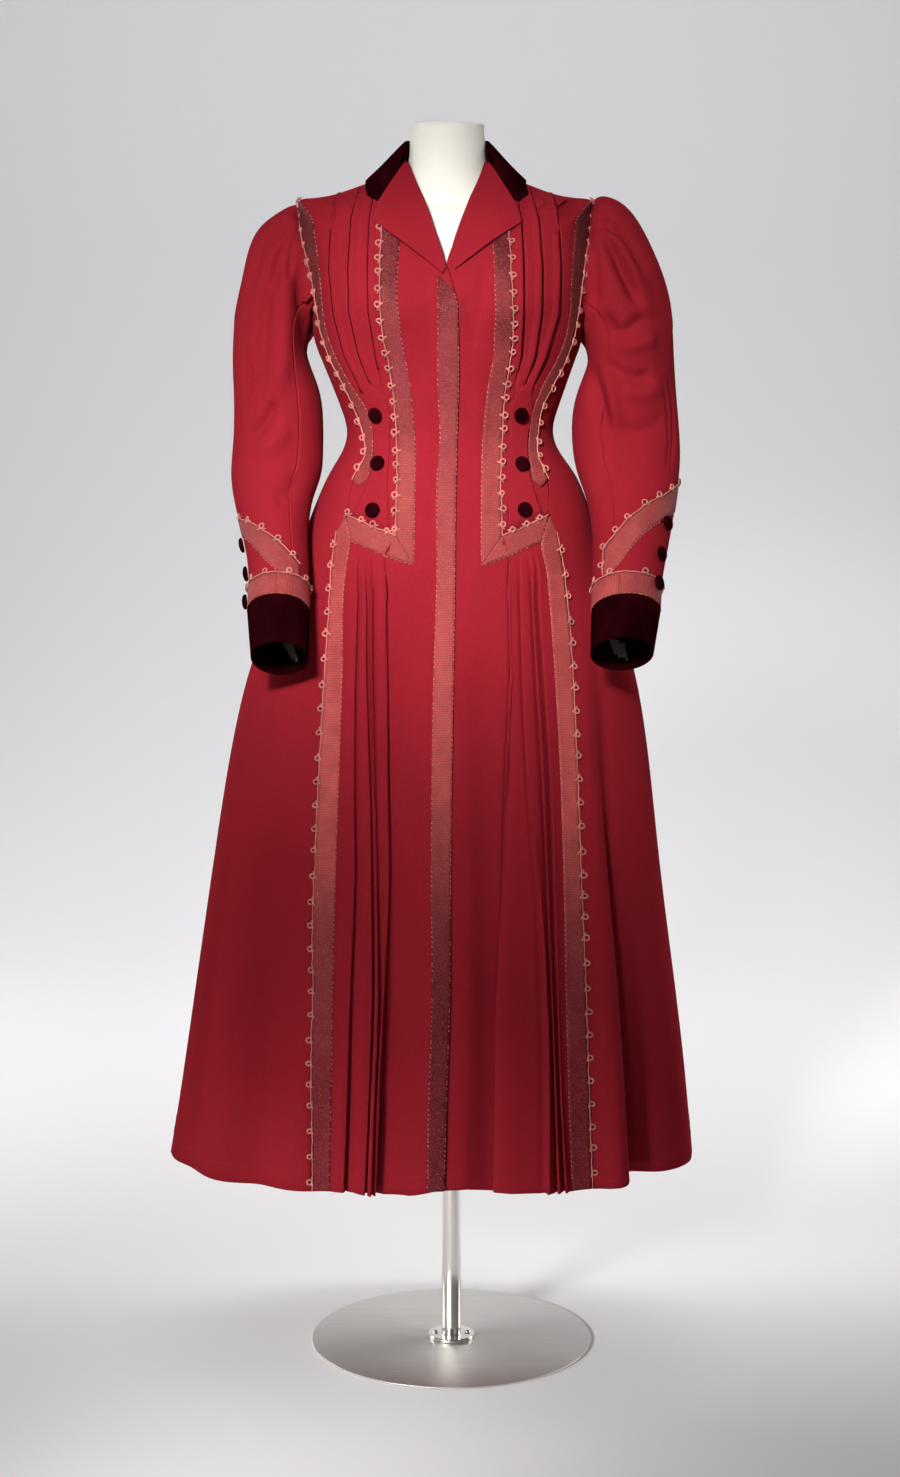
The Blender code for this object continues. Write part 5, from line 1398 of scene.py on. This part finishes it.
class COAT_OT_tucks(bpy.types.Operator):
    """Stitches the tucks down along their free edges with a near-black thread that also paints the shadow line in each
    tuck's groove
    """

    bl_idname = "coat.tucks"
    bl_label = "Tuck stitching"

    def execute(self, context):
        for side in SIDES:
            thing = bpy.data.objects[f"yoke_{side}_cloth"]
            points = [Vector(place) for place in coordinates(thing)]
            tree = BVHTree.FromPolygons(points, [tuple(face.vertices) for face in thing.data.polygons])
            parts = []
            for k, (low, high) in zip((1, 2, 3), TUCK_ENDS):
                path, normals = [], []
                for z in np.linspace(low, high, 120):
                    # the thread runs a millimetre outside the tuck line, in the groove, so its dark colour paints the
                    # groove's shadow
                    x = (float(curve_at(TUCKS[side], k, z)) + SIGN[side] * 1.0) * MM
                    spot, normal, _, _ = tree.ray_cast(Vector((x, -0.4, z * MM)), Vector((0, 1, 0)))
                    if spot is not None and normal.y < -0.1:
                        path.append(np.array(spot) + np.array(normal) * settings().tuck_thread * 0.4)
                        normals.append(np.array(normal))
                normals = smoothed_normals(np.array(normals), 6)
                parts.append(tube(np.array(path), normals, settings().tuck_thread))
            sew(f"yoke_{side}_tuck_stitching_and_shadow", parts, "dark_thread")
        return {"FINISHED"}


class COAT_OT_tabs(bpy.types.Operator):
    """Makes the pointed button tabs"""

    bl_idname = "coat.tabs"
    bl_label = "Button tabs"

    def execute(self, context):
        looks = settings()
        cloth = body_cloth()
        rng = random.Random(11)
        for side in SIDES:
            node = f"tab_{side}"
            points, faces = outer_sheet(node, from_body)
            thing = add_piece(f"{node}_cloth", points, faces, "broadcloth")
            finer(thing, 2)
            placed, _ = cloth.laid(coordinates(thing), looks.laid_gap + looks.tab_thickness)
            move_points(thing, placed)
            declare_cloth(thing, node)
            thicken(thing, looks.tab_thickness)
            loop = spline(border_loops(points, faces)[0], 0.003, closed=True)
            middle = loop.mean(axis=0)
            loop = loop + unit(middle - loop) * looks.edge_stitch_inset
            path, normals = cloth.laid(loop, looks.laid_gap + looks.tab_thickness)
            sew(f"{node}_stitches", running_stitches(path, normals, rng, 0.0034, 0.0022, 0.00022), "red_thread")
        return {"FINISHED"}


class COAT_OT_sewing(bpy.types.Operator):
    """Sews the back's seams, the hem line, the lapels' stitched edges and the worked buttonhole"""

    bl_idname = "coat.sewing"
    bl_label = "Sewing lines"

    def seam(self, name):
        """A thin roll of the coat's own cloth, sunk into the seam round a back panel above its hem."""
        looks = settings()
        loop = panel_border(name)
        above = loop[:, 2] > SEAM_FOOT
        first = np.flatnonzero(above & ~np.roll(above, 1))[0]
        line = even(np.roll(loop, -first, axis=0)[: above.sum()], 0.004)
        places, normals = Cloth([name]).laid(line, -looks.seam_sunk)
        return tube(places, smoothed_normals(normals, 4), looks.seam_radius)

    def execute(self, context):
        rng = random.Random(23)
        sew("back_seams", [self.seam(f"{part}_{side}_cloth") for part in ("back", "side_back") for side in SIDES],
            "broadcloth")
        names = [f"{part}_{side}_cloth" for part in
                 ("front", "pleat_panel", "side_front", "side_back", "back") for side in SIDES]
        parts = []
        for name in names:
            loop = panel_border(name)
            foot = loop[loop[:, 2] < 0.285]
            turn = np.arctan2(foot[:, 0] - CORE[0], -foot[:, 1])
            foot = foot[np.argsort(turn)]
            if len(foot) < 3:
                continue
            line = even(foot, 0.002)
            line[:, 2] += settings().hem_height
            path, normals = Cloth([name]).laid(line, 0.0)
            parts += running_stitches(path, smoothed_normals(normals), rng, 0.0042, 0.0026, 0.00025)
        sew("hem_stitches", parts, "red_thread")
        self.lapels(rng)
        return {"FINISHED"}

    def buttonhole(self, tree, rng):
        """Close stitches on both sides of a cut that was never opened."""
        (x, z), half = BUTTONHOLE
        parts = []
        for step in range(15):
            at = x - half + 2 * half * step / 14
            for row in (-1, 1):
                high = z + row * 0.0008 + (at - x) * 0.12
                spot, normal, _, _ = tree.ray_cast(Vector((at, -0.4, high)), Vector((0, 1, 0)))
                if spot is not None:
                    up = np.array(normal)
                    way = unit(np.cross(np.cross(up, (0, 0, 1)), up))
                    parts.append(capsule(np.array(spot) + up * 0.0002, way, up, 0.0017, 0.0003))
        return parts

    def lapels(self, rng):
        for side in SIDES:
            cloth = Cloth([f"lapel_{side}_cloth"])
            loop = max(border_loops(*outer_sheet(f"lapel_{side}", forwards)), key=len)
            line = spline(loop, 0.003, closed=True)
            middle = line.mean(axis=0)
            line = line + unit(middle - line) * settings().edge_stitch_inset
            path, normals = cloth.laid(line, 0.0)
            stitches = running_stitches(path, normals, rng, 0.0034, 0.0022, 0.00022)
            if side == "r":
                stitches += self.buttonhole(cloth.tree, rng)
            sew(f"lapel_{side}_stitches", stitches, "red_thread")


# the ribbon's fading: height in metres, dye and strength
RIBBON_TONES = (
    (0.25, "ribbon_burgundy", 0.6), (0.42, "ribbon_burgundy", 0.85), (0.60, "ribbon_rose", 0.95),
    (0.75, "ribbon_salmon", 1.1), (0.92, "ribbon_salmon", 0.9), (1.04, "ribbon_salmon", 0.62),
    (1.13, "ribbon_salmon", 0.55), (1.22, "ribbon_rose", 0.6), (1.30, "ribbon_rose", 0.7),
    (1.38, "ribbon_rose", 0.35), (1.43, "ribbon_burgundy", 0.35), (1.48, "ribbon_burgundy", 0.25),
)
# the worked buttonhole's middle and half length, seen from the front
BUTTONHOLE = ((-77 * MM, 1465 * MM), 8 * MM)


def lathe(name, profile, steps, material_name, place, axis=(0, 0, 1)):
    """A round piece: (radius, height) points turned about an axis."""
    turn = Vector((0, 0, 1)).rotation_difference(Vector(axis))
    corners, faces = [], []
    rings = []
    for radius, height in profile:
        if radius < 1e-7:
            rings.append([len(corners)])
            corners.append(Vector((0, 0, height)))
            continue
        rings.append(list(range(len(corners), len(corners) + steps)))
        for k in range(steps):
            angle = 2 * math.pi * k / steps
            corners.append(Vector((radius * math.cos(angle), radius * math.sin(angle), height)))
    for low, high in zip(rings, rings[1:]):
        for k in range(steps):
            m = (k + 1) % steps
            if len(low) == 1:
                faces.append((low[0], high[m], high[k])[::-1])
            elif len(high) == 1:
                faces.append((low[k], low[m], high[0]))
            else:
                faces.append((low[k], low[m], high[m], high[k]))
    corners = [tuple(turn @ corner + Vector(place)) for corner in corners]
    thing = add_piece(name, corners, faces, material_name)
    work = bmesh.new()
    work.from_mesh(thing.data)
    bmesh.ops.recalc_face_normals(work, faces=work.faces)
    work.to_mesh(thing.data)
    work.free()
    shade(thing)
    return thing


def button_place(node):
    """A button's foot centre, its axis away from the cloth, its radius and its height."""
    points, _ = node_mesh(node)
    middle = (points.max(axis=0) + points.min(axis=0)) / 2
    centre = points.mean(axis=0)
    _, _, axes = np.linalg.svd(points - centre)
    axis = axes[2]
    along = (points - centre) @ axis
    flat = np.linalg.norm(points - centre - along[:, None] * axis, axis=1)
    at_low = flat[along < along.min() + 0.3 * MM].max()
    at_high = flat[along > along.max() - 0.3 * MM].max()
    if at_low < at_high:
        axis, along = -axis, -along
    foot = centre + axis * along.min()
    return foot, axis, flat.max(), along.max() - along.min()


class COAT_OT_buttons(bpy.types.Operator):
    """Makes the domed velvet buttons"""

    bl_idname = "coat.buttons"
    bl_label = "Buttons"

    def execute(self, context):
        for kind in ("front_button", "sleeve_button"):
            for side in SIDES:
                for number in (1, 2, 3):
                    node = f"{kind}_{side}{number}"
                    foot, axis, radius, height = button_place(node)
                    profile = [(0, 0), (radius * 0.78, 0), (radius * 0.95, height * 0.12), (radius, height * 0.28),
                               (radius * 0.985, height * 0.42)]
                    for k in range(1, 9):
                        angle = math.pi / 2 * k / 8
                        profile.append((radius * 0.97 * math.cos(angle), height * (0.45 + 0.55 * math.sin(angle))))
                    thing = lathe(f"{node}_dome", profile, 40, "velvet", foot, axis)
                    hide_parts(node)
                    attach(thing, "root")
        return {"FINISHED"}


class COAT_OT_form(bpy.types.Operator):
    """Makes the smooth covered dress form"""

    bl_idname = "coat.form"
    bl_label = "Dress form"

    def execute(self, context):
        points, faces = node_mesh("dress_form")
        thing = add_piece("dress_form_body", points, faces, "form_cover")
        finer(thing, 2)
        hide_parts("dress_form")
        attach(thing, "root")
        return {"FINISHED"}


class COAT_OT_stand(bpy.types.Operator):
    """Turns the base plate, flange, screws and pole"""

    bl_idname = "coat.stand"
    bl_label = "Stand"

    def execute(self, context):
        for node, name, steps, soft in (("base_plate", "brushed_steel", 256, 0.0006),
                                        ("base_flange", "polished_steel", 96, 0.0012),
                                        ("pole", "polished_steel", 96, 0.0006)):
            low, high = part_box(node)
            radius = (high.x - low.x) / 2
            tall = high.z - low.z
            profile = [(0, 0), (radius - soft, 0)]
            for k in range(1, 5):
                angle = math.pi / 2 * k / 5
                profile.append((radius - soft + soft * math.sin(angle), soft - soft * math.cos(angle)))
            profile.append((radius, soft))
            profile.append((radius, tall - soft))
            for k in range(1, 5):
                angle = math.pi / 2 * k / 5
                profile.append((radius - soft + soft * math.cos(angle), tall - soft + soft * math.sin(angle)))
            profile += [(radius - soft, tall), (0, tall)]
            thing = lathe(f"{node}_turned", profile, steps, name, (0, 0, low.z))
            self.keep(thing, node, name)
        for number in (1, 2):
            node = f"flange_screw_{number}"
            low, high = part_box(node)
            radius, tall = (high.x - low.x) / 2, high.z - low.z
            profile = [(0, 0), (radius * 0.96, 0), (radius, 0.0005)]
            for k in range(9):
                angle = math.pi / 2 * k / 8
                profile.append((radius * math.cos(angle), 0.0008 + (tall - 0.0008) * math.sin(angle)))
            centre = ((low.x + high.x) / 2, (low.y + high.y) / 2, low.z)
            self.keep(lathe(f"{node}_head", profile, 40, "polished_steel", centre), node, "polished_steel")
        return {"FINISHED"}

    def keep(self, thing, node, slot):
        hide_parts(node)
        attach(thing, "root")
        edge = thing.modifiers.new("edges", "EDGE_SPLIT")
        edge.split_angle = math.radians(50)


class COAT_OT_stage(bpy.types.Operator):
    """Sets the pale floor and backdrop, the soft lights and the camera"""

    bl_idname = "coat.stage"
    bl_label = "Studio"

    def execute(self, context):
        looks = settings()
        scene = context.scene
        profile = [(-6.0, 0.0), (2.2, 0.0)]
        for k in range(1, 17):
            angle = math.pi / 2 * k / 16
            profile.append((2.2 + 1.6 * math.sin(angle), 1.6 - 1.6 * math.cos(angle)))
        profile.append((3.8, 6.0))
        corners = [(x, y, z - 0.0002) for x in (-9.0, 9.0) for y, z in profile]
        count = len(profile)
        faces = [(k, k + count, k + count + 1, k + 1) for k in range(count - 1)]
        paper = add_piece("studio_paper", corners, faces, "studio_paper")
        shade(paper)
        world = bpy.data.worlds.new("studio")
        world.use_nodes = True
        world.node_tree.nodes["Background"].inputs[0].default_value = (1.0, 0.97, 0.99, 1)
        world.node_tree.nodes["Background"].inputs[1].default_value = looks.fill_light
        scene.world = world
        scene.view_settings.view_transform = "Standard"
        for name, place, aim, width, height, power, spread in LIGHTS:
            data = bpy.data.lights.new(name, "AREA")
            data.shape = "RECTANGLE"
            data.size, data.size_y = width, height
            data.energy = power * looks.light_power
            data.spread = math.radians(spread)
            lamp = bpy.data.objects.new(name, data)
            lamp.location = place
            lamp.rotation_euler = (Vector(aim) - Vector(place)).to_track_quat("-Z", "Y").to_euler()
            scene.collection.objects.link(lamp)
        data = bpy.data.cameras.new("photo_view")
        data.lens = looks.lens
        data.sensor_width = 36
        data.clip_end = 50
        camera = bpy.data.objects.new("photo_view", data)
        camera.location = (-0.002, -3.4, 1.257)
        camera.rotation_euler = (math.radians(90) - looks.camera_pitch, 0, 0)
        scene.collection.objects.link(camera)
        scene.camera = camera
        return {"FINISHED"}


# name, place, aim, width, height, watts, spread in degrees
LIGHTS = (
    ("key", (-0.6, -2.45, 2.2), (0.0, 0.0, 1.10), 0.4, 0.4, 3.3, 25),
    ("fill", (2.2, -2.4, 1.7), (0, 0, 1.0), 1.0, 1.4, 0.5, 100),
    ("left", (-2.6, -0.8, 1.4), (0, 0, 0.8), 0.8, 1.4, 0.4, 90),
    ("top", (0.0, 0.7, 3.2), (0, 0, 1.3), 2.4, 1.2, 2, 120),
    ("base", (-1.2, -1.9, 0.8), (0, -0.1, 0), 0.5, 0.5, 1.9, 30),
    ("floor_left", (-2.6, 1.2, 1.6), (0, 0.8, 0), 1.2, 1.2, 17, 120),
    ("floor_right", (2.6, 1.2, 1.6), (0, 0.8, 0), 1.2, 1.2, 13, 120),
    ("backdrop", (0.0, 1.5, 3.4), (0, 3.4, 0.7), 4.4, 0.8, 76, 170),
)


class COAT_LooksSettings(bpy.types.PropertyGroup):
    """The sizes and colours of the dressed coat"""

    cloth_thickness: FloatProperty(name="Cloth", description="Thickness of the broadcloth", default=0.0018,
                                   unit="LENGTH")
    velvet_thickness: FloatProperty(name="Velvet", description="Thickness of the velvet", default=0.0024,
                                    unit="LENGTH")
    lining_thickness: FloatProperty(name="Lining", description="Thickness of the lining", default=0.0009,
                                    unit="LENGTH")
    ribbon_thickness: FloatProperty(name="Ribbon", description="Thickness of the ribbon", default=0.0008,
                                    unit="LENGTH")
    tab_thickness: FloatProperty(name="Tab", description="Thickness of the button tabs", default=0.0014,
                                 unit="LENGTH")
    laid_gap: FloatProperty(name="Gap under trim", description="Space under what is laid on the cloth",
                            default=0.0003, unit="LENGTH")
    ribbon_point: FloatProperty(name="Ribbon point", description="Pointed foot of the armhole ribbon",
                                default=0.009, unit="LENGTH")
    ribbon_step: FloatProperty(name="Ribbon step", description="Length of a ribbon's cells", default=0.004,
                               unit="LENGTH")
    seam_radius: FloatProperty(name="Seam roll", description="Half the thickness of the cloth rolled into a back seam",
                               default=0.0018, unit="LENGTH")
    seam_sunk: FloatProperty(name="Seam depth", description="How far a back seam's roll lies under the cloth's face",
                             default=0.0019, unit="LENGTH")
    crease_depth: FloatProperty(name="Crease depth", description="Strength of the sleeves' and fronts' creases",
                                default=1.5)
    pleat_overlap: FloatProperty(name="Pleat overlap", description="How far a fold edge reaches over",
                                 default=0.0036, unit="LENGTH")
    pleat_hollow: FloatProperty(name="Pleat hollow", description="Depth of the hollow under a fold edge",
                                default=0.0035, unit="LENGTH")
    tuck_thread: FloatProperty(name="Tuck thread", description="Radius of the thread along a tuck",
                               default=0.0007, unit="LENGTH")
    tuck_hollow: FloatProperty(name="Tuck hollow", description="Depth of the hollow beside a tuck",
                               default=0.0026, unit="LENGTH")
    collar_depth: FloatProperty(name="Collar depth", description="Stand and fall of the collar", default=0.115,
                                unit="LENGTH")
    cord_radius: FloatProperty(name="Cord", description="Radius of the looped cord", default=0.0011,
                               unit="LENGTH")
    loop_radius: FloatProperty(name="Loop", description="Radius of a loop's middle line", default=0.0031,
                               unit="LENGTH")
    bodice_loops: FloatProperty(name="Bodice loops", description="Spacing of the loops on the bodice",
                                default=0.0205, unit="LENGTH")
    skirt_loops: FloatProperty(name="Skirt loops", description="Spacing of the loops on the skirt",
                               default=0.029, unit="LENGTH")
    sleeve_loops: FloatProperty(name="Sleeve loops", description="Spacing of the loops on the sleeves",
                                default=0.026, unit="LENGTH")
    stitch_spacing: FloatProperty(name="Stitch spacing", description="From stitch to stitch along a ribbon",
                                  default=0.0056, unit="LENGTH")
    stitch_length: FloatProperty(name="Stitch", description="Length of a stitch", default=0.0026, unit="LENGTH")
    thread_radius: FloatProperty(name="Thread", description="Radius of the sewing thread", default=0.00045,
                                 unit="LENGTH")
    stitch_inset: FloatProperty(name="Stitch inset", description="From a ribbon's edge to its stitches",
                                default=0.0004, unit="LENGTH")
    edge_stitch_inset: FloatProperty(name="Edge stitching", description="From a lapel's or tab's edge",
                                     default=0.0035, unit="LENGTH")
    hem_height: FloatProperty(name="Hem", description="Height of the hem's stitched line", default=0.023,
                              unit="LENGTH")
    broadcloth_colour: FloatVectorProperty(name="Broadcloth", description="Colour of the wool", size=3,
                                           subtype="COLOR", default=(0.25, 0.0125, 0.0205))
    ribbon_rose: FloatVectorProperty(name="Rose", description="Ribbon at the chest", size=3, subtype="COLOR",
                                     default=(0.33, 0.058, 0.060))
    ribbon_salmon: FloatVectorProperty(name="Salmon", description="Ribbon at the waist", size=3, subtype="COLOR",
                                       default=(0.52, 0.095, 0.085))
    ribbon_burgundy: FloatVectorProperty(name="Burgundy", description="Ribbon at the shoulders and the hem",
                                         size=3, subtype="COLOR", default=(0.22, 0.022, 0.030))
    velvet_colour: FloatVectorProperty(name="Velvet", description="Colour of collar, cuffs and buttons", size=3,
                                       subtype="COLOR", default=(0.014, 0.0008, 0.002))
    cord_colour: FloatVectorProperty(name="Cord", description="Colour of the looped cord", size=3,
                                     subtype="COLOR", default=(0.62, 0.20, 0.16))
    form_colour: FloatVectorProperty(name="Form cover", description="Colour of the form's cover", size=3,
                                     subtype="COLOR", default=(0.88, 0.85, 0.77))
    lining_colour: FloatVectorProperty(name="Lining", description="Colour of the cuffs' lining", size=3,
                                       subtype="COLOR", default=(0.40, 0.34, 0.27))
    steel_colour: FloatVectorProperty(name="Steel", description="Colour of the stand", size=3, subtype="COLOR",
                                      default=(0.80, 0.77, 0.73))
    floor_colour: FloatVectorProperty(name="Floor", description="Colour of the floor", size=3, subtype="COLOR",
                                      default=(0.86, 0.85, 0.86))
    # painted shade: the grey at the backdrop's top stands in for the light falling off
    shaded_backdrop_top: FloatVectorProperty(name="Backdrop", description="Colour of the backdrop's top", size=3,
                                         subtype="COLOR", default=(0.60, 0.61, 0.64))
    light_power: FloatProperty(name="Light", description="Strength of all the lamps", default=1.0)
    fill_light: FloatProperty(name="Fill", description="Strength of the light from all round", default=0.092)
    lens: FloatProperty(name="Lens", description="Focal length of the camera", default=65.18)
    camera_pitch: FloatProperty(name="Camera pitch", description="How far the camera looks down",
                                default=math.radians(7.66), subtype="ANGLE")


STEPS = (
    COAT_OT_body, COAT_OT_tucks, COAT_OT_sleeves, COAT_OT_collar, COAT_OT_cuffs, COAT_OT_tabs, COAT_OT_ribbons,
    COAT_OT_sewing, COAT_OT_buttons, COAT_OT_form, COAT_OT_stand, COAT_OT_stage,
)


class COAT_PT_looks(bpy.types.Panel):
    """Lists the steps that dress the coat, with its sizes and colours"""

    bl_idname = "COAT_PT_looks"
    bl_label = "Evening coat"
    bl_space_type = "VIEW_3D"
    bl_region_type = "UI"
    bl_category = "Coat"

    def draw(self, context):
        for step in STEPS:
            self.layout.operator(step.bl_idname)
        looks = context.scene.coat_looks
        for key in looks.bl_rna.properties.keys():
            if key not in ("rna_type", "name"):
                self.layout.prop(looks, key)


def register():
    for made in (COAT_LooksSettings, *STEPS, COAT_PT_looks):
        bpy.utils.register_class(made)
    bpy.types.Scene.coat_looks = PointerProperty(type=COAT_LooksSettings)


def unregister():
    del bpy.types.Scene.coat_looks
    for made in (COAT_PT_looks, *reversed(STEPS), COAT_LooksSettings):
        bpy.utils.unregister_class(made)


def main():
    register()
    for step in STEPS:
        family, name = step.bl_idname.split(".")
        getattr(getattr(bpy.ops, family), name)()


if __name__ == "__main__":
    main()
